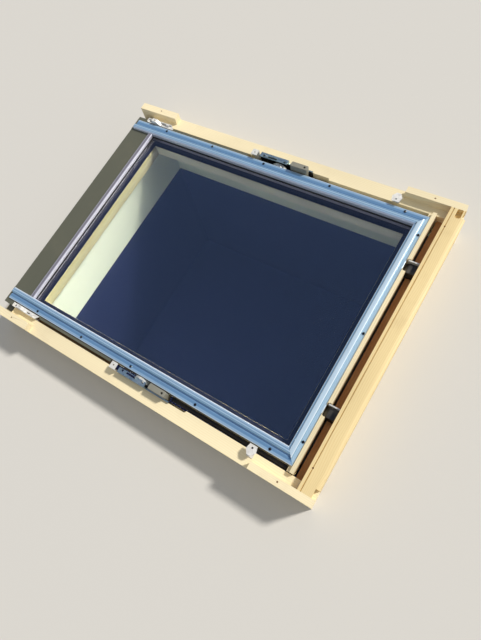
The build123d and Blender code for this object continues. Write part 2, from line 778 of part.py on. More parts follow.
# Seal strips on the stiles: thin angles in the lower half
with BuildPart() as seal_strips:
    for name, side in sides:
        block((strip_start, lath_end), across(side, stile_outer, stile_outer + sheet),
              (seal_strip_low, seal_strip_high))
        block((strip_start, lath_end), across(side, stile_outer, stile_outer + seal_strip_reach),
              (seal_strip_high - sheet, seal_strip_high))
save(seal_strips, "seal_strips")

# Rubber gaskets on the stiles in the upper half: a hollow bulb on a foot
with BuildPart() as side_gaskets:
    for name, side in sides:
        with BuildSketch(Plane.YZ.offset(side_gasket_start)):
            bulb_y = side * (stile_outer + side_gasket_width - side_gasket_bulb)
            with Locations((side * (stile_outer + side_gasket_foot / 2), side_gasket_z)):
                Rectangle(side_gasket_foot, 2 * side_gasket_bulb - 2)
            with Locations((bulb_y, side_gasket_z)):
                Circle(side_gasket_bulb)
                Circle(side_gasket_bulb - side_gasket_wall, mode=Mode.SUBTRACT)
        extrude(amount=rebate_head - side_gasket_start - 4)
save(side_gaskets, "side_gaskets")

# Friction hinge, sash half: a plate let into the stile, with a ring round the drum
ring_inner = drum_radius + drum_fit
ring_outer = ring_inner + ring_wall
with BuildPart() as hinge_rings:
    for name, side in sides:
        plate_y = across(side, stile_outer - hinge_plate, stile_outer)
        ring_y = across(side, stile_outer, stile_outer + ring_length)
        block(ring_plate_x, plate_y, ring_plate_z)
        screw_holes(side, ring_screw_places, stile_outer - hinge_plate, stile_outer, wood_screw_radius)
        screw_holes(side, ring_screw_places, stile_outer - wood_screw_head_height, stile_outer,
                    wood_screw_head, head_flats)
        cross_rod(pivot_x, pivot_z, ring_y, ring_outer)
        cross_rod(pivot_x, pivot_z, ring_y, ring_inner, mode=Mode.SUBTRACT)
save(hinge_rings, "hinge_rings")

# Countersunk screws of the rings
with BuildPart() as ring_screws:
    for name, side in sides:
        screw_row(side, ring_screw_places, stile_outer - wood_screw_head_height, wood_screw_radius,
                  wood_screw_head, wood_screw_head_height, ring_screw_length, inward=True)
save(ring_screws, "ring_screws")

# Friction hinge, frame half: a plate in the jamb's pocket, folded over the ring, with the drum
plate_top = jamb_height + frame_plate_rise
with BuildPart() as hinge_frames:
    for name, side in sides:
        block((frame_plate_start, frame_plate_end), across(side, plate_face, plate_outer),
              (hinge_pocket_low + frame_plate_low_gap, plate_top))
        block((flange_start, flange_end), across(side, plate_face, plate_outer),
              (plate_top, hinge_flange_top))
        block((flange_start, flange_end), across(side, plate_outer - hinge_flange_reach, plate_face),
              (hinge_flange_top - hinge_flange_plate, hinge_flange_top))
        cross_rod(pivot_x, pivot_z, across(side, stile_outer + sash_clearance, plate_face), drum_radius)
        screw_holes(side, plate_screw_places, plate_face, plate_outer, wood_screw_radius)
        # Two holes and a window in the folded top
        flange_z = (hinge_flange_top - hinge_flange_plate, hinge_flange_top)
        for hole_x in (flange_start + 4 * flange_hole_radius, flange_end - 3 * flange_hole_radius):
            upright_rod(hole_x, side * (plate_face - hinge_flange_reach / 2), *flange_z, flange_hole_radius,
                        mode=Mode.SUBTRACT)
        block((flange_start + flange_window_start, flange_start + flange_window_start + flange_window_length),
              across(side, plate_face - flange_window_inset - flange_window_width,
                     plate_face - flange_window_inset), flange_z, mode=Mode.SUBTRACT)
save(hinge_frames, "hinge_frames")

# Brake housings beside the drums
with BuildPart() as brake_boxes:
    for name, side in sides:
        box_y = across(side, stile_outer + sash_clearance, plate_face)
        with BuildSketch(Plane.XY.offset(brake_box_low)):
            with Locations((brake_box_start + brake_box_length / 2, (box_y[0] + box_y[1]) / 2)):
                RectangleRounded(brake_box_length, box_y[1] - box_y[0], brake_box_corner)
        extrude(amount=brake_box_top - brake_box_low)
        upright_rod(brake_box_start + brake_box_length - brake_hole_inset, (box_y[0] + box_y[1]) / 2,
                    brake_box_top - brake_hole_depth, brake_box_top, brake_hole_radius, mode=Mode.SUBTRACT)
    chamfer(brake_boxes.faces().sort_by(Axis.Z)[-2:].edges().filter_by(GeomType.LINE),
            length=brake_box_chamfer)
save(brake_boxes, "brake_boxes")

# Screws of the hinge's frame half and of the lugs beside it
with BuildPart() as hinge_screws:
    for name, side in sides:
        screw_row(side, plate_screw_places, plate_face, wood_screw_radius, wood_screw_head,
                  wood_screw_head_height, plate_screw_length)
        screw_row(side, [mid_lug_screw], plate_outer - lug_thickness, wood_screw_radius, wood_screw_head,
                  wood_screw_head_height, mid_lug_screw_length)
save(hinge_screws, "hinge_screws")

# Lugs for the outer covers beside the hinges: a leg in the pocket and a folded tab with a hole
lug_reach = stile_outer + sash_clearance
with BuildPart() as mid_lugs:
    for name, side in sides:
        lug_x = (mid_lug_x - mid_lug_length / 2, mid_lug_x + mid_lug_length / 2)
        block(lug_x, across(side, plate_outer - lug_thickness, plate_outer),
              (hinge_pocket_low + mid_lug_low_gap, lug_top))
        block(lug_x, across(side, lug_reach, plate_outer), (lug_top - lug_thickness, lug_top))
        upright_rod(mid_lug_x, side * (lug_reach + mid_lug_hole_inset), lug_top - lug_thickness, lug_top,
                    lug_hole_radius, mode=Mode.SUBTRACT)
        screw_holes(side, [mid_lug_screw], plate_outer - lug_thickness, plate_outer, wood_screw_radius)
save(mid_lugs, "mid_lugs")

# Lugs for the outer covers near the head: a six-sided plate on a bent leg
lug_leg = jamb_inner + upper_lug_leg_gap
with BuildPart() as upper_lugs:
    for name, side in sides:
        with BuildSketch(Plane.XY.offset(lug_top - lug_thickness)):
            with BuildLine():
                near_edge = side * lug_reach
                far_edge = side * (lug_reach + upper_lug_size)
                middle = side * (lug_reach + upper_lug_size * upper_lug_widest)
                Polyline((upper_lug_x - upper_lug_root / 2, near_edge),
                         (upper_lug_x + upper_lug_root / 2, near_edge),
                         (upper_lug_x + upper_lug_size / 2, middle),
                         (upper_lug_x + upper_lug_tip / 2, far_edge),
                         (upper_lug_x - upper_lug_tip / 2, far_edge),
                         (upper_lug_x - upper_lug_size / 2, middle), close=True)
            make_face()
            with Locations((upper_lug_x, side * (lug_reach + lug_hole_inset))):
                Circle(upper_lug_hole_radius, mode=Mode.SUBTRACT)
        extrude(amount=lug_thickness)
        leg_x = (upper_lug_x - upper_lug_leg / 2, upper_lug_x + upper_lug_leg / 2)
        block(leg_x, across(side, lug_leg, lug_leg + lug_thickness), (jamb_height, lug_top))
        block(leg_x, across(side, lug_leg, lug_leg + upper_lug_foot),
              (jamb_height, jamb_height + lug_thickness))
save(upper_lugs, "upper_lugs")

# Brackets for the lower covers: a leg on the jamb, a tray over the gap, a boss and a small tab
with BuildPart() as lower_brackets:
    for name, side in sides:
        leg_y = across(side, jamb_inner - lug_thickness, jamb_inner)
        tray_y = across(side, lug_reach, jamb_inner)
        block((bracket_start, bracket_end - bracket_slant), leg_y, (bracket_low, bracket_tray + bracket_rim))
        with BuildSketch(Plane.XY.offset(bracket_tray - lug_thickness)):
            with BuildLine():
                Polyline((bracket_start, side * lug_reach), (bracket_end, side * lug_reach),
                         (bracket_end - bracket_slant, side * jamb_inner), (bracket_start, side * jamb_inner),
                         close=True)
            make_face()
            with Locations((bracket_start + bracket_slant, side * (lug_reach + bracket_window_inset))):
                Rectangle(bracket_window_length, bracket_window_width, mode=Mode.SUBTRACT)
            with Locations((bracket_start + bracket_slot_x, side * (lug_reach + lug_hole_inset))):
                SlotOverall(bracket_slot_length, bracket_slot_width, mode=Mode.SUBTRACT)
        extrude(amount=lug_thickness)
        block((bracket_start, bracket_start + lug_thickness), tray_y,
              (bracket_tray, bracket_tray + bracket_rim))
        # Boss with a hole, slanted at one end
        boss_x = bracket_start + boss_start
        boss_y = across(side, lug_reach, jamb_inner - lug_thickness)
        with BuildSketch(Plane.XZ.offset(-boss_y[1])):
            with BuildLine():
                Polyline((boss_x, bracket_tray), (boss_x + boss_length, bracket_tray),
                         (boss_x + boss_top_start + boss_top_length, lug_top - boss_drop),
                         (boss_x + boss_top_start, lug_top - boss_drop), close=True)
            make_face()
        extrude(amount=boss_y[1] - boss_y[0])
        upright_rod(boss_x + boss_hole_x, side * (lug_reach + boss_hole_inset), bracket_tray, lug_top,
                    lug_hole_radius, mode=Mode.SUBTRACT)
        block((bracket_start + bracket_tab_x, bracket_start + bracket_tab_x + bracket_tab_length),
              across(side, jamb_inner - 3 * lug_thickness, jamb_inner - lug_thickness),
              (bracket_tray, bracket_tray + bracket_tab_rise))
        screw_holes(side, bracket_screw_places, jamb_inner - lug_thickness, jamb_inner, wood_screw_radius)
save(lower_brackets, "lower_brackets")

# Screws of the brackets
with BuildPart() as bracket_screws:
    for name, side in sides:
        screw_row(side, bracket_screw_places, jamb_inner - lug_thickness, wood_screw_radius, wood_screw_head,
                  wood_screw_head_height, bracket_screw_length)
save(bracket_screws, "bracket_screws")

# Long screws through the jambs into the head and the sill
with BuildPart() as corner_screws:
    for name, side in sides:
        screw_row(side, corner_screw_places, half_width - corner_screw_sunk, corner_screw_radius,
                  corner_screw_head - corner_screw_head_fit, corner_screw_head_height,
                  corner_screw_length - corner_screw_sunk - screw_hole_spare, inward=True)
save(corner_screws, "corner_screws")

# Lock keepers on the head: a plastic block with a slot for the tongue, and a steel plate beside it
keeper_front = head_inner - keeper_reach
keeper_seat = keeper_front + keeper_screw_recess
with BuildPart() as keeper_blocks:
    for name, side in sides:
        lock_y = side * lock_offset
        block((keeper_front, head_inner), (lock_y - keeper_length / 2, lock_y + keeper_length / 2),
              (keeper_low, keeper_high))
        block((keeper_front, keeper_front + keeper_slot_depth),
              (lock_y - keeper_length / 2, lock_y + keeper_length / 2),
              (tongue_low - keeper_slot_play, tongue_low + tongue_height + keeper_slot_play),
              mode=Mode.SUBTRACT)
        for screw_y in (lock_y - keeper_screw_spacing / 2, lock_y + keeper_screw_spacing / 2):
            long_rod(screw_y, keeper_screw_z, (keeper_front, head_inner), wood_screw_radius + screw_fit,
                     shank_flats, Mode.SUBTRACT)
            long_rod(screw_y, keeper_screw_z, (keeper_front, keeper_seat), wood_screw_head + screw_fit,
                     head_flats, Mode.SUBTRACT)
    chamfer(keeper_blocks.edges().filter_by(Axis.Y).group_by(Axis.Z)[-1].group_by(Axis.X)[0],
            length=keeper_chamfer)
save(keeper_blocks, "keeper_blocks")

# Steel plates beside the keeper blocks
with BuildPart() as keeper_plates:
    for name, side in sides:
        plate_low = side * lock_offset + keeper_length / 2
        block((keeper_front + keeper_plate_setback, head_inner), (plate_low, plate_low + keeper_plate),
              (keeper_low + keeper_plate_low_gap, sash_top + keeper_plate_rise))
save(keeper_plates, "keeper_plates")

# Screws through the keeper blocks into the head
with BuildPart() as keeper_screws:
    for name, side in sides:
        for screw_y in (side * lock_offset - keeper_screw_spacing / 2,
                        side * lock_offset + keeper_screw_spacing / 2):
            long_rod(screw_y, keeper_screw_z, (keeper_seat, head_inner + keeper_screw_grip),
                     wood_screw_radius, shank_flats)
            long_rod(screw_y, keeper_screw_z, (keeper_seat - wood_screw_head_height, keeper_seat),
                     wood_screw_head, head_flats)
save(keeper_screws, "keeper_screws")

# Lock tongues in the top rail, drawn back as they are while the sash is free
with BuildPart() as lock_tongues:
    for name, side in sides:
        lock_y = side * lock_offset
        block((top_strip_inner - tongue_length - tongue_sunk, top_strip_inner - tongue_sunk),
              (lock_y - tongue_width / 2, lock_y + tongue_width / 2), (tongue_low, tongue_low + tongue_height))
    chamfer(lock_tongues.edges().filter_by(Axis.Y).group_by(Axis.X)[-1], length=tongue_chamfer)
save(lock_tongues, "lock_tongues")


def flap_plane(distance):
    """Section plane of the flap at a distance along Y: its own X runs from the axis to the bar."""
    return Plane(origin=(flap_axis_x, distance, flap_axis_z),
                 x_dir=Vector(1, 0, 0).rotate(Axis.Y, flap_rest_angle), z_dir=(0, -1, 0))


def flap_section(distance, wall):
    """The flap's section: a plate from the bead on its axis to a round bar, with a bore if it has a wall."""
    bar_x = flap_depth - bar_radius
    with BuildSketch(flap_plane(distance)) as section:
        with Locations(((flap_depth - flap_bead) / 2, 0)):
            Rectangle(flap_depth - flap_bead, flap_plate)
        Circle(flap_bead)
        with Locations((bar_x, -bar_drop / 2)):
            Rectangle(flap_plate, bar_drop)
        with Locations((bar_x, -bar_drop)):
            Circle(bar_radius)
            if wall:
                Circle(bar_radius - wall, mode=Mode.SUBTRACT)
    return section.sketch


# Ventilation flap with the control bar as its free edge, one aluminium extrusion
with BuildPart() as vent_flap:
    extrude(flap_section(half_flap, bar_wall), amount=2 * half_flap)
save(vent_flap, "vent_flap")

# Foam strip that closes the flap against the head's tongue
with BuildPart() as flap_seal:
    with BuildSketch(flap_plane(half_flap)):
        with Locations((flap_seal_x, (flap_plate + flap_seal_depth) / 2)):
            Rectangle(flap_seal_width, flap_seal_depth)
    extrude(amount=2 * half_flap)
save(flap_seal, "flap_seal")

# Plastic end caps with the pins that the flap turns on
with BuildPart() as flap_caps:
    for name, side in sides:
        cap_y = across(side, half_flap, half_flap + flap_cap)
        extrude(flap_section(cap_y[1], 0), amount=flap_cap)
        cross_rod(flap_axis_x, flap_axis_z,
                  across(side, half_flap + flap_cap, half_flap + flap_cap + ear_gap + ear_thickness),
                  pin_radius)
save(flap_caps, "flap_caps")

# Ears under the stiles that carry the flap's pins
ear_start = half_flap + flap_cap + ear_gap
with BuildPart() as flap_ears:
    for name, side in sides:
        ear_y = across(side, ear_start, ear_start + ear_thickness)
        foot_y = across(side, ear_start, ear_start + ear_foot_width)
        cross_rod(flap_axis_x, flap_axis_z, ear_y, ear_radius)
        block((flap_axis_x - ear_radius, flap_axis_x + ear_radius), ear_y, (flap_axis_z, sash_bottom))
        block((flap_axis_x - ear_foot / 2, flap_axis_x + ear_foot / 2), foot_y,
              (sash_bottom - ear_foot_thickness, sash_bottom))
        cross_rod(flap_axis_x, flap_axis_z, ear_y, pin_radius + pin_fit, mode=Mode.SUBTRACT)
        for screw_x in (flap_axis_x - ear_screw_spacing / 2, flap_axis_x + ear_screw_spacing / 2):
            upright_rod(screw_x, side * (ear_start + ear_thickness / 2), sash_bottom - ear_foot_thickness,
                        sash_bottom, wood_screw_radius + screw_fit, shank_flats, Mode.SUBTRACT)
save(flap_ears, "flap_ears")

# Screws of the ears, up into the stiles
ear_underside = sash_bottom - ear_foot_thickness
with BuildPart() as ear_screws:
    for name, side in sides:
        screw_y = side * (ear_start + ear_thickness / 2)
        for screw_x in (flap_axis_x - ear_screw_spacing / 2, flap_axis_x + ear_screw_spacing / 2):
            upright_rod(screw_x, screw_y, ear_underside, sash_bottom + ear_screw_length, wood_screw_radius,
                        shank_flats)
            upright_rod(screw_x, screw_y, ear_underside - wood_screw_head_height, ear_underside,
                        wood_screw_head, head_flats)
save(ear_screws, "ear_screws")
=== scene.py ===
import json
import math
import bmesh
import bpy
from mathutils import Matrix, Vector

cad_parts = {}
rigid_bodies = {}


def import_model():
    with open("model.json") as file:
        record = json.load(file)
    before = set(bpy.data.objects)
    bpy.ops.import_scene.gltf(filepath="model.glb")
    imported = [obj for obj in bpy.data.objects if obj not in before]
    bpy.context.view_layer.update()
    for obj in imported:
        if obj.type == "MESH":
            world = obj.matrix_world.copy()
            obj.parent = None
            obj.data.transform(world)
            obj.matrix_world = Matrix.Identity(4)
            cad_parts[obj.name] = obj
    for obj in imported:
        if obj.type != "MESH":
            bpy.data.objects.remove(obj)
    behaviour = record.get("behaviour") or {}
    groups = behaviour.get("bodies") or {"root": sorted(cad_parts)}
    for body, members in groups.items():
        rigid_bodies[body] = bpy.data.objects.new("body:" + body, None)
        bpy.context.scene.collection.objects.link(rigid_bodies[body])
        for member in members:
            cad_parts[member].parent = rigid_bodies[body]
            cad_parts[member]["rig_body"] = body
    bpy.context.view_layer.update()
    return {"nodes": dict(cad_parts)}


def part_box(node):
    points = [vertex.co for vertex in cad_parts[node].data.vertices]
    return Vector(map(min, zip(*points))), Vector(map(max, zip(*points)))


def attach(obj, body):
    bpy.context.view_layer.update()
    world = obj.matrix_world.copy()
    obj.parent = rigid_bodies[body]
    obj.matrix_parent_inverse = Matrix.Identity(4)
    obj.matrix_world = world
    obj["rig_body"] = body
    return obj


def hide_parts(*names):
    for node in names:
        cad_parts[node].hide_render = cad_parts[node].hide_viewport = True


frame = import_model()
nodes = frame["nodes"]


# Outer frame: two jambs, the head and the sill, planed from pale pine boards about 40 mm thick and
# screwed together at the corners. The grain runs along each board, and the edges are eased by sanding.
def paint(red, green, blue):
    """A colour given as it looks on a screen, 0 to 255, in the linear values that shaders take."""
    return tuple((c / 255 / 12.92) if c <= 10 else ((c / 255 + 0.055) / 1.055) ** 2.4
                 for c in (red, green, blue)) + (1.0,)


def plug(tree, socket, value):
    """Feeds a socket with a plain value, or with the socket that it is linked to."""
    if isinstance(value, bpy.types.NodeSocket):
        tree.links.new(value, socket)
    else:
        socket.default_value = value


def add(tree, kind, inputs=None, **settings):
    """One node in a tree; an input is a value or the socket that feeds it."""
    made = tree.nodes.new(kind)
    for key, value in settings.items():
        setattr(made, key, value)
    for key, value in (inputs or {}).items():
        plug(tree, made.inputs[key], value)
    return made


def mathed(tree, operation, first, second=0.0, third=0.0, clamp=False):
    """The result of one Math node."""
    return add(tree, "ShaderNodeMath", {0: first, 1: second, 2: third}, operation=operation,
               use_clamp=clamp).outputs[0]


def blended(tree, factor, first, second, how="MIX"):
    """The result of mixing two colours."""
    return add(tree, "ShaderNodeMix", {0: factor, 6: first, 7: second}, data_type="RGBA",
               blend_type=how).outputs[2]


def ranged(tree, value, low, high, to_low=0.0, to_high=1.0):
    """A value stretched from one range to another and held inside it."""
    return add(tree, "ShaderNodeMapRange", {0: value, 1: low, 2: high, 3: to_low, 4: to_high},
               interpolation_type="SMOOTHSTEP").outputs[0]


def stretched(tree, place, factors):
    """A vector multiplied along each axis."""
    return add(tree, "ShaderNodeVectorMath", {0: place, 1: factors}, operation="MULTIPLY").outputs[0]


def clouds(tree, place, scale, detail=3.0, roughness=0.55):
    """A noise value at a place."""
    return add(tree, "ShaderNodeTexNoise", {"Vector": place, "Scale": scale, "Detail": detail,
                                            "Roughness": roughness}).outputs["Fac"]


def node_group(tree_kind, name, inputs, outputs):
    """An empty node group with its named sockets, its input node's outputs and its output node."""
    tree = bpy.data.node_groups.new(name, tree_kind)
    for label, kind, value in inputs:
        socket = tree.interface.new_socket(label, in_out="INPUT", socket_type="NodeSocket" + kind)
        if value is not None:
            socket.default_value = value
    for label, kind in outputs:
        tree.interface.new_socket(label, in_out="OUTPUT", socket_type="NodeSocket" + kind)
    return tree, tree.nodes.new("NodeGroupInput").outputs, tree.nodes.new("NodeGroupOutput")


def grouped(tree, group, inputs):
    """A group placed in a tree with its own values; gives the group node's outputs."""
    return add(tree, "ShaderNodeGroup", inputs, node_tree=group).outputs


def finish_material(name, build):
    """A material whose Principled shader is filled in by a function of its tree, place and shader."""
    material = bpy.data.materials.new(name)
    material.use_nodes = True
    tree = material.node_tree
    shader = tree.nodes["Principled BSDF"]
    place = add(tree, "ShaderNodeTexCoord").outputs["Object"]
    build(tree, place, shader)
    return material


def feed(tree, shader, **sockets):
    """Links or sets sockets of a shader, named with _ for spaces."""
    for key, value in sockets.items():
        plug(tree, shader.inputs[key.replace("_", " ")], value)


def relief(tree, shader, height, strength, depth):
    """Puts a height on a shader as a bump of a real depth in metres."""
    bump = add(tree, "ShaderNodeBump", {"Height": height, "Strength": strength, "Distance": depth})
    tree.links.new(bump.outputs[0], shader.inputs["Normal"])


# Growth rings around a heart below the board, wavering along it, with fine fibres and a few knots.
pine_grain, given, given_out = node_group(
    "ShaderNodeTree", "pine_grain",
    [("Place", "Vector", None), ("Early wood", "Color", paint(244, 222, 178)),
     ("Late wood", "Color", paint(214, 172, 112)), ("Knot wood", "Color", paint(140, 88, 48)),
     ("Heart", "Vector", (0.0, 0.03, -0.11)), ("Ring width", "Float", 0.0042), ("Knots", "Float", 1.0)],
    [("Color", "Color"), ("Roughness", "Float"), ("Height", "Float")])
t = pine_grain
knot_cells = add(t, "ShaderNodeTexVoronoi", {"Vector": stretched(t, given["Place"], (6.0, 9.0, 9.0)),
                                             "Scale": 1.0}, feature="F1")
knot = mathed(t, "MULTIPLY", ranged(t, knot_cells.outputs["Distance"], 0.115, 0.055), given["Knots"])
knot_pull = mathed(t, "MULTIPLY", ranged(t, knot_cells.outputs["Distance"], 0.36, 0.0), 0.012)
waver = clouds(t, stretched(t, given["Place"], (2.2, 9.0, 9.0)), 1.0, detail=2.0)
waver = mathed(t, "MULTIPLY", waver, 0.034)
from_heart = add(t, "ShaderNodeVectorMath", {0: stretched(t, given["Place"], (0.03, 1.0, 1.0)),
                                             1: given["Heart"]}, operation="SUBTRACT").outputs[0]
radius = add(t, "ShaderNodeVectorMath", {0: from_heart}, operation="LENGTH").outputs["Value"]
radius = mathed(t, "ADD", mathed(t, "ADD", radius, waver), knot_pull)
ring = mathed(t, "FRACT", mathed(t, "DIVIDE", radius, given["Ring width"]))
late = mathed(t, "MULTIPLY", mathed(t, "POWER", ring, 2.6), ranged(t, ring, 1.0, 0.93))
fibre = clouds(t, stretched(t, given["Place"], (14.0, 900.0, 900.0)), 1.0, detail=3.0)
tone = clouds(t, stretched(t, given["Place"], (1.6, 7.0, 7.0)), 1.0, detail=2.0)
late_share = mathed(t, "MULTIPLY_ADD", late, 0.72, mathed(t, "MULTIPLY", mathed(t, "SUBTRACT", fibre, 0.42),
                                                          0.55), clamp=True)
wood = blended(t, late_share, given["Early wood"], given["Late wood"])
shade = ranged(t, tone, 0.3, 0.72, 0.88, 1.05)
wood = add(t, "ShaderNodeVectorMath", {0: wood, 3: shade}, operation="SCALE").outputs[0]
wood = blended(t, mathed(t, "MULTIPLY", knot, 0.85), wood, given["Knot wood"])
t.links.new(wood, given_out.inputs["Color"])
t.links.new(ranged(t, fibre, 0.2, 0.8, 0.42, 0.62), given_out.inputs["Roughness"])
t.links.new(mathed(t, "MULTIPLY_ADD", late, 0.5, fibre), given_out.inputs["Height"])

# Grime that gathers in blotches and specks, used thinly on wood and metal alike.
grime, given, given_out = node_group(
    "ShaderNodeTree", "grime", [("Place", "Vector", None), ("Size", "Float", 14.0), ("Amount", "Float", 0.3)],
    [("Mask", "Float")])
t = grime
blotch = ranged(t, clouds(t, given["Place"], given["Size"], detail=5.0, roughness=0.62), 0.5, 0.74)
speck = ranged(t, add(t, "ShaderNodeTexVoronoi", {"Vector": given["Place"], "Scale": 150.0},
                      feature="F1").outputs["Distance"], 0.16, 0.05)
speck = mathed(t, "MULTIPLY", speck, ranged(t, clouds(t, given["Place"], 21.0), 0.45, 0.6))
t.links.new(mathed(t, "MULTIPLY", mathed(t, "MAXIMUM", blotch, speck), given["Amount"], clamp=True),
            given_out.inputs["Mask"])


def pine(name, turn, shift, early=(250, 236, 198), late=(230, 202, 146), dirt=0.12, gloss=0.0, shade_band=None):
    """Pine with its grain turned along a board and shifted, so that no two boards look alike; gloss is a coat
    of clear lacquer. A shade band is painted shade on part of a board: an axis, the two distances from the
    middle between which it comes in, the height above which it shows, and its colour."""
    def build(tree, place, shader):
        board = add(tree, "ShaderNodeMapping", {"Vector": place, "Rotation": (0, 0, turn),
                                                "Location": shift}).outputs[0]
        grain = grouped(tree, pine_grain, {"Place": board, "Early wood": paint(*early),
                                           "Late wood": paint(*late)})
        dust = grouped(tree, grime, {"Place": place, "Size": 11.0, "Amount": dirt})["Mask"]
        wood = blended(tree, dust, grain["Color"], paint(150, 118, 84))
        # Painted shade: the shade band darkens the faces between its two distances and above its height, with
        # a little random variation.
        if shade_band:
            axis, unshaded_at, shaded_at, low, tone = shade_band
            apart = add(tree, "ShaderNodeSeparateXYZ", {0: place}).outputs
            from_middle = mathed(tree, "ABSOLUTE", apart[axis])
            shade_share = mathed(tree, "MULTIPLY", ranged(tree, from_middle, unshaded_at, shaded_at),
                          ranged(tree, clouds(tree, place, 24.0, detail=4.0), 0.2, 0.7, 0.84, 0.97))
            shade_share = mathed(tree, "MULTIPLY", shade_share, ranged(tree, apart[2], low, low + 0.002))
            wood = blended(tree, shade_share, wood, paint(*tone))
        feed(tree, shader, Base_Color=wood, Roughness=grain["Roughness"], Coat_Weight=gloss,
             Coat_Roughness=0.18, Specular_IOR_Level=0.25)
        relief(tree, shader, grain["Height"], strength=0.35, depth=0.0004)
    return finish_material(name, build)


def placed(name, data):
    """A new object at the origin, linked to the scene."""
    made = bpy.data.objects.new(name, data)
    bpy.context.scene.collection.objects.link(made)
    return made


weld_distance = 2e-6
flat_within = math.radians(0.6)
fold_angle = math.radians(32)


def joined_copy(node, name):
    """A copy of a CAD node whose loose triangles are merged into whole faces."""
    body = nodes[node]["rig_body"]
    mesh = nodes[node].data.copy()
    mesh.name = name
    work = bmesh.new()
    work.from_mesh(mesh)
    bmesh.ops.remove_doubles(work, verts=work.verts, dist=weld_distance)
    bmesh.ops.dissolve_limit(work, angle_limit=flat_within, verts=work.verts, edges=work.edges)
    work.to_mesh(mesh)
    work.free()
    mesh.materials.clear()
    return placed(name, mesh), body


def settled(made):
    """Makes an object's modifiers part of its mesh."""
    bpy.context.view_layer.update()
    shown = bpy.context.evaluated_depsgraph_get()
    mesh = bpy.data.meshes.new_from_object(made.evaluated_get(shown), preserve_all_data_layers=True,
                                           depsgraph=shown)
    made.modifiers.clear()
    made.data = mesh


def eased(node, name, material, width, longer_than=0.012, segments=3):
    """A CAD node's piece with its long edges rounded; it stands in for the node."""
    made, body = joined_copy(node, name)
    mesh = made.data
    for polygon in mesh.polygons:
        polygon.use_smooth = True
    work = bmesh.new()
    work.from_mesh(mesh)
    layers = work.edges.layers.float
    weights = layers.get("bevel_weight_edge") or layers.new("bevel_weight_edge")
    for edge in work.edges:
        turns = len(edge.link_faces) == 2 and edge.calc_face_angle(0.0) > fold_angle
        edge.smooth = not turns
        edge[weights] = 1.0 if turns and edge.calc_length() > longer_than else 0.0
    work.to_mesh(mesh)
    work.free()
    rounding = made.modifiers.new("rounding", "BEVEL")
    rounding.limit_method = "WEIGHT"
    rounding.width = width
    rounding.segments = segments
    rounding.harden_normals = True
    rounding.use_clamp_overlap = True
    settled(made)
    made.data.materials.clear()
    made.data.materials.append(material)
    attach(made, body)
    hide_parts(node)


def dressed(node, material):
    """A CAD node shown as it is, with its real material."""
    nodes[node].data.materials.clear()
    nodes[node].data.materials.append(material)


board_edge = 0.0016
quarter_turn = math.pi / 2
jamb_late_wood = (240, 218, 170)
head_thickness = 0.041
head_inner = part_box("head")[1].x - head_thickness
# Painted shade: the head's inner face and its ledge are painted dark brown, where the head's shadow falls
# into the gap above the sash.
painted_gap_shade = (0, head_inner + 0.0008, head_inner - 0.0002, -0.01, (176, 122, 72))
eased("jamb_near", "near_jamb_board", pine("pine_near_jamb", 0.0, (0.13, 0.02, 0.01), late=jamb_late_wood),
      board_edge)
eased("jamb_far", "far_jamb_board", pine("pine_far_jamb", 0.0, (0.71, 0.33, 0.02), late=jamb_late_wood),
      board_edge)
eased("head", "head_board",
      pine("pine_head", quarter_turn, (0.31, 0.17, 0.03), early=(243, 220, 166), late=(229, 198, 136),
           shade_band=painted_gap_shade), board_edge)
eased("sill", "sill_board", pine("pine_sill", quarter_turn, (0.57, 0.41, 0.05)), board_edge)


# Wooden pins let into the raised jamb ends and the head's groove, cut off flush and slightly domed.
# They are beech dowels about 4 mm thick, darker than the boards, with their end grain showing.
def islands(node):
    """The corner points of each separate solid of a CAD node, as lists of vectors."""
    work = bmesh.new()
    work.from_mesh(nodes[node].data)
    bmesh.ops.remove_doubles(work, verts=work.verts, dist=weld_distance)
    left = set(work.verts)
    found = []
    while left:
        first = min(left, key=lambda v: tuple(round(c, 5) for c in v.co))
        left.discard(first)
        group, edge_of_group = [first], [first]
        while edge_of_group:
            corner = edge_of_group.pop()
            for edge in corner.link_edges:
                other = edge.other_vert(corner)
                if other in left:
                    left.discard(other)
                    group.append(other)
                    edge_of_group.append(other)
        found.append([v.co.copy() for v in group])
    work.free()
    return found


def seats(node):
    """For each screw or pin of a node: its seat, the way its shank points, the radii of shank and head, the
    head's height and the shank's length."""
    head_is_wider = 1.2
    found = []
    for points in islands(node):
        low = Vector([min(p[i] for p in points) for i in range(3)])
        high = Vector([max(p[i] for p in points) for i in range(3)])
        size = high - low
        along = max(range(3), key=lambda i: size[i])
        middle = (low + high) / 2
        spread = [((p - middle).length_squared - (p - middle)[along] ** 2) ** 0.5 for p in points]
        shank = min(spread)
        head = max(spread)
        wide = [p[along] for p, s in zip(points, spread) if s > shank * head_is_wider]
        at_top = not wide or sum(wide) / len(wide) > middle[along]
        seat = middle.copy()
        if wide:
            seat[along] = min(wide) if at_top else max(wide)
            height = (high[along] - seat[along]) if at_top else (seat[along] - low[along])
        else:
            seat[along] = high[along]
            height = 0.0
        way = Vector((0, 0, 0))
        way[along] = -1.0 if at_top else 1.0
        found.append((seat, way, shank, head, height, size[along] - height))
    return found


def geometry_group(name, inputs):
    """An empty geometry node tree that takes points and gives a mesh."""
    return node_group("GeometryNodeTree", name, [("Geometry", "Geometry", None)] + inputs,
                      [("Geometry", "Geometry")])


def grown(points_object, tree, values, name, body):
    """Runs a geometry tree on an object, keeps the result as a plain mesh, and lets it ride on a body."""
    modifier = points_object.modifiers.new(tree.name, "NODES")
    modifier.node_group = tree
    for socket in tree.interface.items_tree:
        if socket.item_type == "SOCKET" and socket.in_out == "INPUT" and socket.name in values:
            modifier[socket.identifier] = values[socket.name]
    settled(points_object)
    points_object.name = name
    points_object.data.name = name
    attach(points_object, body)
    return points_object


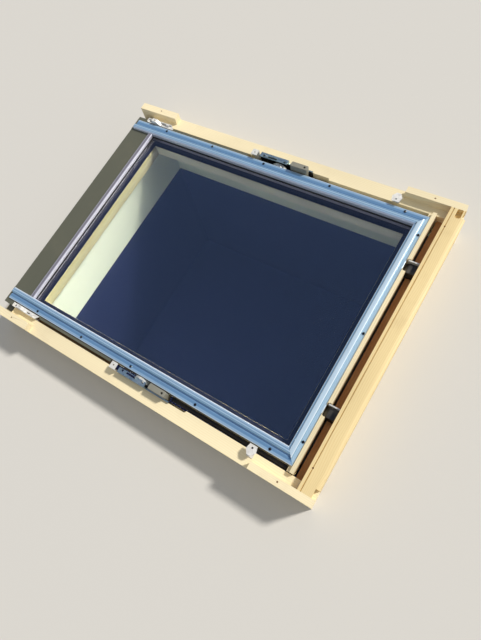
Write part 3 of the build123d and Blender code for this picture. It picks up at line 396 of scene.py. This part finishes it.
def point_cloud(found, name):
    """Loose points at the seats that were found, with the way of each kept as an attribute."""
    mesh = bpy.data.meshes.new(name)
    mesh.from_pydata([tuple(seat) for seat, *_ in found], [], [])
    mesh.attributes.new("way", "FLOAT_VECTOR", "POINT").data.foreach_set(
        "vector", [c for _, way, *_ in found for c in way])
    return placed(name, mesh)


def moved_up(tree, piece, rise):
    """A piece of a geometry tree moved along its own axis."""
    shift = add(tree, "ShaderNodeCombineXYZ", {2: rise}).outputs[0]
    return add(tree, "GeometryNodeTransform", {0: piece, "Translation": shift}).outputs[0]


def joined(tree, *pieces):
    """Pieces of a geometry tree put together."""
    made = tree.nodes.new("GeometryNodeJoinGeometry")
    for piece in pieces:
        tree.links.new(piece, made.inputs[0])
    return made.outputs[0]


def placed_along(tree, given, piece):
    """Instances of a piece on points, its top turned away from each point's way, spun at random."""
    way = add(tree, "GeometryNodeInputNamedAttribute", {"Name": "way"}, data_type="FLOAT_VECTOR").outputs[0]
    out = add(tree, "ShaderNodeVectorMath", {0: way, 3: -1.0}, operation="SCALE").outputs[0]
    aimed = add(tree, "FunctionNodeAlignRotationToVector", {"Vector": out}, axis="Z").outputs[0]
    spin = add(tree, "FunctionNodeRandomValue", {"Min": (0, 0, 0), "Max": (0, 0, 2 * math.pi),
                                                 "Seed": given["Seed"]}, data_type="FLOAT_VECTOR").outputs[0]
    spun = add(tree, "FunctionNodeRotateRotation",
               {0: aimed, 1: add(tree, "FunctionNodeEulerToRotation", {0: spin}).outputs[0]},
               rotation_space="LOCAL").outputs[0]
    points = add(tree, "GeometryNodeInstanceOnPoints", {"Points": given["Geometry"], "Instance": piece,
                                                        "Rotation": spun}).outputs[0]
    real = add(tree, "GeometryNodeRealizeInstances", {0: points}).outputs[0]
    return add(tree, "GeometryNodeSetMaterial", {"Geometry": real, "Material": given["Finish"]}).outputs[0]


dowel, given, given_out = geometry_group(
    "dowel", [("Radius", "Float", 0.0022), ("Length", "Float", 0.023), ("Crown", "Float", 0.0004),
              ("Seed", "Int", 3), ("Finish", "Material", None)])
stem = add(dowel, "GeometryNodeMeshCylinder", {"Vertices": 24, "Radius": given["Radius"],
                                               "Depth": given["Length"]}).outputs[0]
stem = moved_up(dowel, stem, mathed(dowel, "MULTIPLY", given["Length"], -0.5))
crown = add(dowel, "GeometryNodeMeshUVSphere", {"Segments": 24, "Rings": 8, "Radius": 1.0}).outputs[0]
flattened = add(dowel, "ShaderNodeCombineXYZ", {0: given["Radius"], 1: given["Radius"], 2: given["Crown"]})
crown = add(dowel, "GeometryNodeTransform", {0: crown, "Scale": flattened.outputs[0]}).outputs[0]
dowel.links.new(placed_along(dowel, given, joined(dowel, stem, crown)), given_out.inputs[0])


def beech(tree, place, shader):
    """Rough, dark end grain."""
    rings = add(tree, "ShaderNodeTexNoise", {"Vector": place, "Scale": 900.0, "Detail": 3.0}).outputs["Fac"]
    feed(tree, shader, Base_Color=blended(tree, rings, paint(158, 118, 76), paint(96, 66, 38)),
         Roughness=ranged(tree, rings, 0.3, 0.7, 0.55, 0.8))
    relief(tree, shader, rings, strength=0.4, depth=0.0002)


pins = seats("corner_pins")
_, _, _, pin_radius, _, pin_length = pins[0]
dowels = grown(point_cloud(pins, "dowel_points"), dowel,
               {"Radius": pin_radius, "Length": pin_length, "Crown": 0.0004,
                "Finish": finish_material("beech_end_grain", beech)}, "wooden_dowels", "frame")
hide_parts("corner_pins")


# Sheet over the sill and the foam strip on the sill's ledge. The sheet is folded from 1.6 mm coated
# aluminium and tucked under the hood; the foam strip seals the closed sash against the ledge.
def coated(colour, streaks, roughness, metal, dirt, along=(1.0, 26.0, 26.0), smears=1.05):
    """Factory-coated sheet: a colour, or colours across the profile, with streaks, smears and dust."""
    streak_tint = (0.48, 0.5, 0.53, 1.0)

    def build(tree, place, shader):
        drawn = clouds(tree, stretched(tree, place, along), 22.0, detail=4.0)
        smear = clouds(tree, place, 7.0, detail=4.0, roughness=0.6)
        base = colour(tree, place) if callable(colour) else paint(*colour)
        base = blended(tree, 1.0, base, ranged(tree, smear, 0.35, 0.7, 1.0, smears), "MULTIPLY")
        base = blended(tree, mathed(tree, "MULTIPLY", ranged(tree, drawn, 0.45, 0.75), streaks), base,
                       streak_tint, "MULTIPLY")
        dust = grouped(tree, grime, {"Place": place, "Size": 9.0, "Amount": dirt})["Mask"]
        feed(tree, shader, Base_Color=blended(tree, dust, base, paint(168, 150, 124)), Metallic=metal,
             Roughness=mathed(tree, "ADD", ranged(tree, smear, 0.3, 0.75, roughness - 0.03, roughness + 0.04),
                              mathed(tree, "MULTIPLY", dust, 0.35), clamp=True))
        relief(tree, shader, drawn, strength=0.06, depth=0.0002)
    return build


def foam(tree, place, shader):
    """Matt black foam with open cells."""
    cells = add(tree, "ShaderNodeTexVoronoi", {"Vector": place, "Scale": 900.0}, feature="F1")
    hollow = cells.outputs["Distance"]
    feed(tree, shader, Base_Color=blended(tree, hollow, paint(26, 26, 27), paint(52, 51, 50)), Roughness=0.95)
    relief(tree, shader, hollow, strength=0.6, depth=0.0004)


drawn_across = (26.0, 1.0, 26.0)
olive_grey = coated((97, 97, 80), streaks=0.08, roughness=0.55, metal=0.1, dirt=0.05, along=drawn_across,
                    smears=1.03)
grey_coat = finish_material("olive_grey_coat", olive_grey)
black_foam = finish_material("black_foam", foam)
dressed("sill_sheet", grey_coat)
dressed("sill_gasket", black_foam)


# Stop laths in the lower side gaps: strips sawn from pine and pinned to the jambs beside the sash. They
# are left raw, so that they are darker and dirtier than the boards.
sawn_edge = 0.001
eased("stop_laths", "stop_lath_strips",
      pine("raw_lath", 0.0, (0.9, 0.6, 0.1), early=(176, 140, 96), late=(132, 96, 58), dirt=0.5), sawn_edge)


# Sash: two stiles, the bottom rail and the top rail, of planed pine under clear lacquer. The top rail
# runs on past the stiles and carries a thin upstand with a notch for each lock.
sash_edge = 0.0015
top_rail_edge = 0.0012
lacquer = 0.35
stile_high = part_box("stile_far")[1]
# Painted shade: a dark blue-black band along the top of each stile's outer face, where it stands in the
# shaded gap beside the side cladding.
painted_edge_shade = (1, stile_high.y - 0.0025, stile_high.y - 0.0015, stile_high.z - 0.005, (36, 38, 52))
eased("stile_near", "near_stile",
      pine("pine_near_stile", 0.0, (0.22, 0.5, 0.04), early=(224, 213, 162), late=(206, 187, 130),
           gloss=lacquer, dirt=0.1, shade_band=painted_edge_shade), sash_edge)
# The far stile's wood is painted paler and greyer than the near stile's: painted light that lifts the shade
# it stands in.
eased("stile_far", "far_stile",
      pine("pine_far_stile", 0.0, (0.43, 0.12, 0.07), early=(243, 239, 220), late=(230, 221, 192),
           gloss=lacquer, dirt=0.1, shade_band=painted_edge_shade), sash_edge)
# The bottom rail's wood is painted darker: painted shade that tones down its sunlit inner face.
eased("bottom_rail", "sash_bottom_rail",
      pine("pine_bottom_rail", quarter_turn, (0.15, 0.7, 0.02), early=(200, 193, 150), late=(186, 173, 121),
           gloss=lacquer, dirt=0.1), sash_edge)
eased("top_rail", "sash_top_rail",
      pine("pine_top_rail", quarter_turn, (0.66, 0.27, 0.06), gloss=lacquer, dirt=0.12), top_rail_edge)


# Sealed glass unit: two 4 mm panes of float glass with a coated aluminium spacer between them. A black
# sealant closes the edge, foam tape beds the unit in the rebate, and plastic blocks carry its weight.
def glass(tree, place, shader):
    """Clear glass with a faint film, which lets most of the sun through to what is under it."""
    shadow = add(tree, "ShaderNodeLightPath").outputs["Is Shadow Ray"]
    film = ranged(tree, clouds(tree, place, 5.0, detail=4.0, roughness=0.6), 0.45, 0.8, 0.0, 0.02)
    feed(tree, shader, Base_Color=paint(250, 252, 250), Roughness=film, IOR=1.5, Transmission_Weight=1.0,
         Alpha=mathed(tree, "MULTIPLY_ADD", shadow, -0.93, 1.0))


def rolled_aluminium(tree, place, shader):
    """Pale strip with fine lines along it, tinted lilac as painted reflection of the sky."""
    lines = clouds(tree, stretched(tree, place, (3.0, 3.0, 900.0)), 1.0, detail=2.0)
    feed(tree, shader, Base_Color=blended(tree, lines, paint(172, 170, 190), paint(206, 204, 220)),
         Metallic=0.4, Roughness=ranged(tree, lines, 0.3, 0.7, 0.35, 0.5))
    relief(tree, shader, lines, strength=0.2, depth=0.0002)


def cured_sealant(tree, place, shader):
    """Lumpy black sealant."""
    lumps = clouds(tree, place, 160.0, detail=4.0)
    feed(tree, shader, Base_Color=blended(tree, lumps, paint(20, 20, 22), paint(44, 44, 47)),
         Roughness=ranged(tree, lumps, 0.3, 0.7, 0.5, 0.75))
    relief(tree, shader, lumps, strength=0.5, depth=0.0008)


def butyl(tree, place, shader):
    """Dark blue-grey tape with soft marks where it was pressed."""
    pressed = clouds(tree, place, 60.0, detail=4.0)
    feed(tree, shader, Base_Color=blended(tree, pressed, paint(38, 40, 64), paint(60, 62, 90)),
         Roughness=ranged(tree, pressed, 0.3, 0.7, 0.4, 0.6))
    relief(tree, shader, pressed, strength=0.3, depth=0.0003)


def moulded(dark, light):
    """Moulded plastic with a fine spark-eroded grain."""
    def build(tree, place, shader):
        grain = clouds(tree, place, 1400.0, detail=2.0)
        wear = clouds(tree, place, 30.0, detail=4.0)
        dust = grouped(tree, grime, {"Place": place, "Size": 18.0, "Amount": 0.3})["Mask"]
        feed(tree, shader, Base_Color=blended(tree, dust, blended(tree, wear, paint(*dark), paint(*light)),
                                              paint(150, 138, 118)),
             Roughness=ranged(tree, grain, 0.3, 0.7, 0.42, 0.6))
        relief(tree, shader, grain, strength=0.25, depth=0.0002)
    return build


clear_glass = finish_material("float_glass", glass)
dressed("inner_pane", clear_glass)
dressed("outer_pane", clear_glass)
dressed("glass_spacer", finish_material("rolled_spacer", rolled_aluminium))
dressed("edge_sealant", finish_material("cured_sealant", cured_sealant))
dressed("glazing_tape", finish_material("butyl_tape", butyl))
black_plastic = finish_material("black_plastic", moulded((14, 14, 15), (30, 30, 32)))
dressed("setting_blocks", black_plastic)


# Glazing gasket: black rubber pressed between the claddings and the outer pane all the way round; only
# its thin lip shows beside the glass.
def rubber(tree, place, shader):
    """Black rubber with a thin grey bloom."""
    skin = clouds(tree, place, 500.0, detail=3.0)
    bloom = clouds(tree, place, 12.0, detail=4.0)
    feed(tree, shader, Base_Color=blended(tree, ranged(tree, bloom, 0.4, 0.75, 0.0, 0.7), paint(22, 22, 25),
                                          paint(62, 60, 62)),
         Roughness=ranged(tree, skin, 0.3, 0.7, 0.5, 0.72))
    relief(tree, shader, skin, strength=0.3, depth=0.0003)


black_rubber = finish_material("black_rubber", rubber)
dressed("glazing_gasket", black_rubber)


# Side and top claddings: extruded aluminium with a grey coat painted blue-grey, the blue being painted
# reflection of the sky, with a flange for the screws, a groove, a raised band and an inner lip. The top one
# is narrower and mitred to the side ones.
def light_shade_bands(axis, start, bands):
    """Painted light and shade in bands across a profile: how far from its glass side each one ends, in mm,
    and its colour.
    """
    soft_edge = 0.35

    def build(tree, place):
        away = mathed(tree, "ABSOLUTE", add(tree, "ShaderNodeSeparateXYZ", {0: place}).outputs[axis])
        width = bands[-1][0] / 1000
        share = mathed(tree, "DIVIDE", mathed(tree, "SUBTRACT", away, start), width)
        ramp = add(tree, "ShaderNodeValToRGB", {0: share})
        stops = ramp.color_ramp.elements
        stops[0].position, stops[0].color = 0.0, paint(*bands[0][1])
        stops[1].position, stops[1].color = 1.0, paint(*bands[-1][1])
        low = 0.0
        for high, colour in bands:
            for place_on in (low + soft_edge, high - soft_edge):
                stops.new(place_on / bands[-1][0]).color = paint(*colour)
            low = high
        return ramp.outputs[0]
    return build


side_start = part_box("side_cladding_far")[0].y
top_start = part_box("top_cladding")[0].x
# Painted light: pale bands are painted highlights along edges and ridges, darker bands painted shade in the
# groove and steps, and the blue is painted reflection of the sky.
sky_lit_along = finish_material("sky_lit_coat_along", coated(light_shade_bands(1, side_start, [
    (2.6, (206, 216, 230)), (6.0, (162, 191, 214)), (7.8, (122, 156, 186)), (11.2, (174, 203, 222)),
    (13.0, (112, 148, 176)), (16.2, (160, 193, 214)), (21.0, (132, 167, 200)), (27.0, (110, 150, 186)),
    (32.2, (151, 184, 210)), (34.0, (210, 223, 234))]),
    streaks=0.16, roughness=0.34, metal=0.3, dirt=0.04, smears=1.05))
sky_lit_across = finish_material("sky_lit_coat_across", coated(light_shade_bands(0, top_start, [
    (1.4, (206, 222, 234)), (4.6, (130, 164, 190)), (6.4, (214, 230, 238)), (14.0, (198, 220, 232)),
    (16.4, (222, 236, 242)), (17.6, (138, 170, 192)), (24.8, (178, 206, 222)), (26.7, (210, 226, 234))]),
    streaks=0.14, roughness=0.38, metal=0.3, dirt=0.04, along=drawn_across, smears=1.05))


def smoothed(node, name, material, sharp_from=math.radians(35)):
    """A CAD node's merged copy, shaded smooth over its folds; it stands in for the node."""
    made, body = joined_copy(node, name)
    for polygon in made.data.polygons:
        polygon.use_smooth = True
    made.data.set_sharp_from_angle(angle=sharp_from)
    made.data.materials.append(material)
    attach(made, body)
    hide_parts(node)


smoothed("side_cladding_near", "near_side_profile", sky_lit_along)
smoothed("side_cladding_far", "far_side_profile", sky_lit_along)
smoothed("top_cladding", "top_profile", sky_lit_across)


# Bottom cladding: a wide hood folded from olive-grey sheet, with a raised ridge along the glass. The ridge is
# painted lilac-grey with fine streaks as painted reflection of the sky, and its edges are painted paler as
# painted highlights.
ridge_width = 0.0135
ridge_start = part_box("bottom_cladding")[1].x - ridge_width
streak_wave = 4200.0


def hood(tree, place, shader):
    """The sheet's coat, and on the ridge a painted reflection of the sky in fine streaks, with painted
    highlights along its edges.
    """
    olive_grey(tree, place, shader)
    across_hood = add(tree, "ShaderNodeSeparateXYZ", {0: place}).outputs[0]
    # Painted highlights at the ridge's two edges and painted streaks of sky reflection across it.
    on_ridge = ranged(tree, across_hood, ridge_start - 0.0012, ridge_start + 0.0004)
    edges = mathed(tree, "MAXIMUM", ranged(tree, across_hood, ridge_start + 0.004, ridge_start + 0.001),
                   ranged(tree, across_hood, ridge_start + 0.009, ridge_start + 0.012))
    reflection_streaks = mathed(tree, "SINE", mathed(tree, "MULTIPLY", across_hood, streak_wave))
    plain = shader.inputs["Base Color"].links[0].from_socket
    ridge_reflection = blended(tree, edges, blended(tree, ranged(tree, reflection_streaks, -0.5, 0.6), paint(126, 122, 128),
                                          paint(156, 150, 158)), paint(212, 211, 222))
    feed(tree, shader, Base_Color=blended(tree, on_ridge, plain, ridge_reflection))
    tree.links.new(ranged(tree, on_ridge, 0.0, 1.0, 0.1, 0.4), shader.inputs["Metallic"])


smoothed("bottom_cladding", "folded_hood", finish_material("hood_coat", hood))


# Screws. The claddings are held by black pan-head screws; zinc-plated ones with flatter heads hold the
# hinges, brackets, keepers and ears, and long ones join the corners. All have a cross recess.
screw, given, given_out = geometry_group(
    "screw", [("Head radius", "Float", 0.0034), ("Head height", "Float", 0.002),
              ("Shank radius", "Float", 0.002), ("Shank length", "Float", 0.018), ("Dome", "Float", 0.7),
              ("Recess width", "Float", 0.001), ("Seed", "Int", 7), ("Finish", "Material", None)])


def cone(tree, bottom, top, depth, rise):
    """An upright cone frustum with its foot at a height."""
    made = add(tree, "GeometryNodeMeshCone", {"Vertices": 32, "Radius Top": top, "Radius Bottom": bottom,
                                              "Depth": depth}).outputs[0]
    return moved_up(tree, made, rise)


def times(tree, first, second):
    """The product of two numbers."""
    return mathed(tree, "MULTIPLY", first, second)


def lowered(tree, dome, share):
    """What is left of one after a share of the dome is taken off."""
    return mathed(tree, "SUBTRACT", 1.0, times(tree, dome, share))


t = screw
head_radius, head_height, dome = given["Head radius"], given["Head height"], given["Dome"]
shoulder = times(t, head_radius, lowered(t, dome, 0.28))
crest = times(t, head_radius, lowered(t, dome, 0.62))
low_height = times(t, head_height, lowered(t, dome, 0.55))
mid_height = times(t, head_height, times(t, dome, 0.33))
top_height = times(t, head_height, times(t, dome, 0.22))
head = joined(t, cone(t, head_radius, head_radius, low_height, 0.0),
              cone(t, head_radius, shoulder, mid_height, low_height),
              cone(t, shoulder, crest, top_height, mathed(t, "ADD", low_height, mid_height)))
narrow_side = given["Recess width"]
long_side = times(t, narrow_side, 3.6)
deep = times(t, head_height, 1.2)
bars = []
for length, width in ((long_side, narrow_side), (narrow_side, long_side)):
    bar_size = add(t, "ShaderNodeCombineXYZ", {0: length, 1: width, 2: deep}).outputs[0]
    bars.append(moved_up(t, add(t, "GeometryNodeMeshCube", {"Size": bar_size}).outputs[0], head_height))
cut = add(t, "GeometryNodeMeshBoolean", {"Mesh 1": head, "Mesh 2": joined(t, *bars)}, operation="DIFFERENCE")
shank = add(t, "GeometryNodeMeshCylinder", {"Vertices": 16, "Radius": given["Shank radius"],
                                            "Depth": given["Shank length"]}).outputs[0]
shank = moved_up(t, shank, times(t, given["Shank length"], -0.5))
t.links.new(placed_along(t, given, joined(t, cut.outputs[0], shank)), given_out.inputs[0])


def screws(node, name, material, dome, seed):
    """All the screws of a CAD node, each with a real head and recess."""
    found = seats(node)
    _, _, shank_radius, head_radius, head_height, _ = found[0]
    shank_length = min(length for *_, length in found)
    made = grown(point_cloud(found, name + "_points"), screw,
                 {"Head radius": head_radius, "Head height": head_height, "Shank radius": shank_radius,
                  "Shank length": shank_length, "Dome": dome, "Recess width": head_radius * 0.3, "Seed": seed,
                  "Finish": material}, name, nodes[node]["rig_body"])
    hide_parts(node)


def blackened(tree, place, shader):
    """Glossy black coat, rubbed through in places."""
    rub = clouds(tree, place, 260.0, detail=4.0)
    feed(tree, shader, Base_Color=blended(tree, ranged(tree, rub, 0.6, 0.78), paint(26, 26, 30),
                                          paint(130, 130, 136)), Metallic=0.6,
         Roughness=ranged(tree, rub, 0.3, 0.75, 0.2, 0.36), Coat_Weight=1.0, Coat_Roughness=0.12)
    relief(tree, shader, rub, strength=0.2, depth=0.0001)


def zinc(colour, rough=0.32, dirt=0.25, shine=0.9, shaded_below=None):
    """Zinc-plated steel with a soft spangle, rolling lines and a little white bloom; below a given height it
    is painted dark grey as painted shade.
    """
    def build(tree, place, shader):
        spangle = add(tree, "ShaderNodeTexVoronoi", {"Vector": place, "Scale": 170.0}, feature="F1")
        flake = add(tree, "ShaderNodeSeparateColor", {0: spangle.outputs["Color"]}).outputs[0]
        lines = clouds(tree, stretched(tree, place, (4.0, 60.0, 60.0)), 12.0, detail=3.0)
        bloom = ranged(tree, clouds(tree, place, 34.0, detail=5.0, roughness=0.6), 0.55, 0.78)
        base = blended(tree, flake, paint(*[c * 0.9 for c in colour]), paint(*colour))
        base = blended(tree, mathed(tree, "MULTIPLY", bloom, 0.5), base, paint(214, 214, 208))
        # Painted shade: below the given height the plate is painted dark grey, where it stands down in the
        # jamb's pocket.
        if shaded_below:
            height = add(tree, "ShaderNodeSeparateXYZ", {0: place}).outputs[2]
            in_shade = ranged(tree, height, shaded_below, shaded_below - 0.0015)
            base = blended(tree, in_shade, base, paint(66, 66, 68))
        dust = grouped(tree, grime, {"Place": place, "Size": 26.0, "Amount": dirt})["Mask"]
        dulled = mathed(tree, "MULTIPLY_ADD", bloom, 0.2, rough)
        feed(tree, shader, Base_Color=blended(tree, dust, base, paint(122, 104, 82)),
             Metallic=ranged(tree, dust, 0.0, 1.0, shine, shine * 0.3),
             Roughness=mathed(tree, "MULTIPLY_ADD", flake, 0.1, dulled))
        relief(tree, shader, mathed(tree, "ADD", lines, flake), strength=0.12, depth=0.0002)
    return build


zinc_screw = finish_material("zinc_screw", zinc((196, 196, 192)))
black_screw = finish_material("black_screw", blackened)
screws("cladding_screws", "black_pan_screws", black_screw, dome=0.8, seed=7)
screws("ring_screws", "ring_screw_heads", zinc_screw, dome=0.15, seed=11)
screws("hinge_screws", "hinge_screw_heads", zinc_screw, dome=0.5, seed=13)
screws("bracket_screws", "bracket_screw_heads", zinc_screw, dome=0.5, seed=17)
screws("corner_screws", "corner_screw_heads", zinc_screw, dome=0.3, seed=19)
screws("keeper_screws", "keeper_screw_heads", zinc_screw, dome=0.5, seed=23)
screws("ear_screws", "ear_screw_heads", zinc_screw, dome=0.5, seed=29)


# Side seals: thin coated angles on the lower half of the stiles, and hollow rubber bulbs on the upper
# half, which press against the jambs' inner faces when the sash is shut.
dressed("seal_strips", grey_coat)
smoothed("side_gaskets", "rubber_bulbs", black_rubber)


# Friction hinges: a pressed steel ring let into each stile turns on a drum carried by a plate in the jamb's
# pocket. The plate folds over the ring, and a grey brake housing sits beside it. The plates are painted dark
# below their folded top, as painted shade down in the pocket.
folded_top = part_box("jamb_far")[0].z + 0.086
zinc_plate = finish_material("zinc_plate", zinc((236, 234, 224), rough=0.4, dirt=0.12, shine=0.4))
blue_zinc = finish_material("blue_zinc", zinc((178, 196, 190), rough=0.26, dirt=0.15, shine=0.85,
                                             shaded_below=folded_top))
grey_plastic = finish_material("grey_plastic", moulded((124, 122, 110), (150, 148, 134)))
smoothed("hinge_rings", "sash_hinge_rings", zinc_plate)
eased("hinge_frames", "folded_hinge_plates", blue_zinc, width=0.0005, longer_than=0.006, segments=2)
eased("brake_boxes", "brake_housings", grey_plastic, width=0.001, longer_than=0.006, segments=2)


# Holders of the outer covers: pressed zinc-plated lugs beside the hinges, six-sided ones near the head,
# and a longer bracket with a boss on each side near the sill.
pressed_edge = 0.0004
white_zinc = finish_material("white_zinc", zinc((243, 240, 232), rough=0.42, dirt=0.1, shine=0.18))
for node, name in (("mid_lugs", "cover_lugs_mid"), ("upper_lugs", "cover_lugs_head"),
                   ("lower_brackets", "cover_brackets_sill")):
    eased(node, name, white_zinc, pressed_edge, longer_than=0.004, segments=2)


# Locks: a black plastic keeper block with a steel plate beside it stands in each notch of the top rail,
# screwed to the head; a plated tongue slides out of the rail into its pocket.
dark_plastic = finish_material("dark_plastic", moulded((30, 28, 24), (56, 52, 44)))
eased("keeper_blocks", "keeper_blocks_moulded", dark_plastic, width=0.0008, longer_than=0.006, segments=2)
eased("keeper_plates", "keeper_plates_pressed", zinc_plate, pressed_edge, longer_than=0.006, segments=2)
eased("lock_tongues", "lock_tongues_plated", zinc_plate, pressed_edge, longer_than=0.004, segments=2)


# Ventilation flap: an anodised aluminium extrusion hung under the top rail, with the hollow control bar
# as its free edge, a foam strip, moulded end caps and two steel ears screwed to the stiles.
def anodised(tree, place, shader):
    """Pale anodised aluminium with fine lines along the bar."""
    lines = clouds(tree, stretched(tree, place, (40.0, 1.0, 40.0)), 24.0, detail=4.0)
    touch = clouds(tree, place, 9.0, detail=4.0, roughness=0.6)
    feed(tree, shader, Base_Color=blended(tree, touch, paint(196, 198, 200), paint(222, 223, 224)),
         Metallic=0.85, Roughness=ranged(tree, mathed(tree, "ADD", lines, touch), 0.6, 1.4, 0.3, 0.46))
    relief(tree, shader, lines, strength=0.15, depth=0.0002)


pale_plastic = finish_material("light_grey_plastic", moulded((150, 149, 144), (176, 175, 170)))
smoothed("vent_flap", "control_bar_flap", finish_material("anodised_bar", anodised))
dressed("flap_seal", black_foam)
eased("flap_caps", "flap_end_caps", pale_plastic, width=0.0005, longer_than=0.004, segments=2)
eased("flap_ears", "flap_ears_pressed", zinc_plate, pressed_edge, longer_than=0.004, segments=2)


# Stage: a plain pale deck with an opening under the frame, so that the sash can swing down, and a deep box
# below it that is pale near the top and dark blue further down, for the glass to show: the dark blue is
# painted shade of the unlit room under the glass, tinted as painted reflection of the sky.
def sheet_object(name, corners, faces, material):
    """A piece of the stage, made of flat faces."""
    mesh = bpy.data.meshes.new(name)
    mesh.from_pydata(corners, [], faces)
    mesh.materials.append(material)
    made = placed(name, mesh)


def deck_paint(tree, place, shader):
    """Plain matt board."""
    feed(tree, shader, Base_Color=paint(214, 211, 205), Roughness=0.9, Specular_IOR_Level=0.2)


def room_paint(tree, place, shader):
    """Pale down to one depth, and dark blue below it."""
    height = add(tree, "ShaderNodeSeparateXYZ", {0: place}).outputs[2]
    is_pale = ranged(tree, height, -pale_depth - 0.001, -pale_depth + 0.001)
    # Painted shade: the dark blue below the pale band stands for the unlit room.
    feed(tree, shader, Base_Color=blended(tree, is_pale, paint(36, 42, 76), paint(231, 236, 216)),
         Roughness=0.9, Specular_IOR_Level=0.1)


pale_depth = 0.152
box_depth = 0.62
deck_height = -0.0004
deck_reach = 4.0
head_ledge = 0.036
jamb_ledge = 0.024
sill_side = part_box("sill")[1].x
head_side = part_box("head")[1].x - head_ledge
far_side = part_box("jamb_far")[0].y + jamb_ledge
outer = [(x * deck_reach, y * deck_reach, deck_height) for x, y in ((-1, -1), (1, -1), (1, 1), (-1, 1))]
inner = [(x, y, deck_height) for x, y in ((sill_side, -far_side), (head_side, -far_side),
                                          (head_side, far_side), (sill_side, far_side))]
foot = [(x, y, -box_depth) for x, y, _ in inner]
around = [(0, 1, 5, 4), (1, 2, 6, 5), (2, 3, 7, 6), (3, 0, 4, 7)]
sheet_object("deck", outer + inner, around, finish_material("pale_deck", deck_paint))
sheet_object("room_box", inner + foot, around + [(4, 5, 6, 7)], finish_material("room_walls", room_paint))


# Light: a soft sun from beyond the head's far corner, and a pale sky that turns blue overhead, which the
# glass and the claddings mirror.
toward_sun = Vector((0.71, 0.83, 1.0))
low_sky, high_sky = (0.9, 0.93, 0.96, 1.0), (0.13, 0.2, 0.42, 1.0)
sky_light, sky_strength = (0.93, 0.96, 1.0, 1.0), 0.42
sun = bpy.data.lights.new("key_light", "SUN")
sun.energy = 3.1
sun.angle = math.radians(7)
sun.color = (1.0, 0.965, 0.91)
placed("key_light", sun).rotation_euler = toward_sun.to_track_quat("Z", "Y").to_euler()
world = bpy.data.worlds.new("studio")
bpy.context.scene.world = world
world.use_nodes = True
t = world.node_tree
path = add(t, "ShaderNodeLightPath").outputs
seen = mathed(t, "MAXIMUM", path["Is Camera Ray"], mathed(t, "MAXIMUM", path["Is Glossy Ray"],
                                                           path["Is Transmission Ray"]))
up = add(t, "ShaderNodeSeparateXYZ", {0: add(t, "ShaderNodeTexCoord").outputs["Generated"]}).outputs[2]
sky = blended(t, ranged(t, up, 0.02, 0.75), low_sky, high_sky)
background = t.nodes["Background"]
t.links.new(blended(t, seen, sky_light, sky), background.inputs["Color"])
t.links.new(ranged(t, seen, 0.0, 1.0, sky_strength, 1.0), background.inputs["Strength"])


# Camera: stands over the near edge and looks down at the window. Its directions, focal length and shifted
# centre put the window's corners where they are in the photograph.
picture_width, picture_height = 481, 640
focal_length = 469.53
centre_x, centre_y = 200.61, 342.05
standpoint = (0.51458, -0.40143, 1.12792)
right = Vector((0.81999108, 0.52416834, -0.2298811)).normalized()
above = Vector((-0.43471183, 0.83158775, 0.34582685))
back = right.cross(above).normalized()
above = back.cross(right).normalized()
lens = bpy.data.cameras.new("camera")
lens.sensor_fit = "VERTICAL"
lens.sensor_height = 24.0
lens.lens = focal_length / picture_height * lens.sensor_height
lens.shift_x = (picture_width / 2 - centre_x) / picture_height
lens.shift_y = (centre_y - picture_height / 2) / picture_height
camera = placed("camera", lens)
camera.matrix_world = Matrix([(right[i], above[i], back[i], standpoint[i]) for i in range(3)]
                             + [(0.0, 0.0, 0.0, 1.0)])
bpy.context.scene.camera = camera
bpy.context.scene.view_settings.view_transform = "Standard"
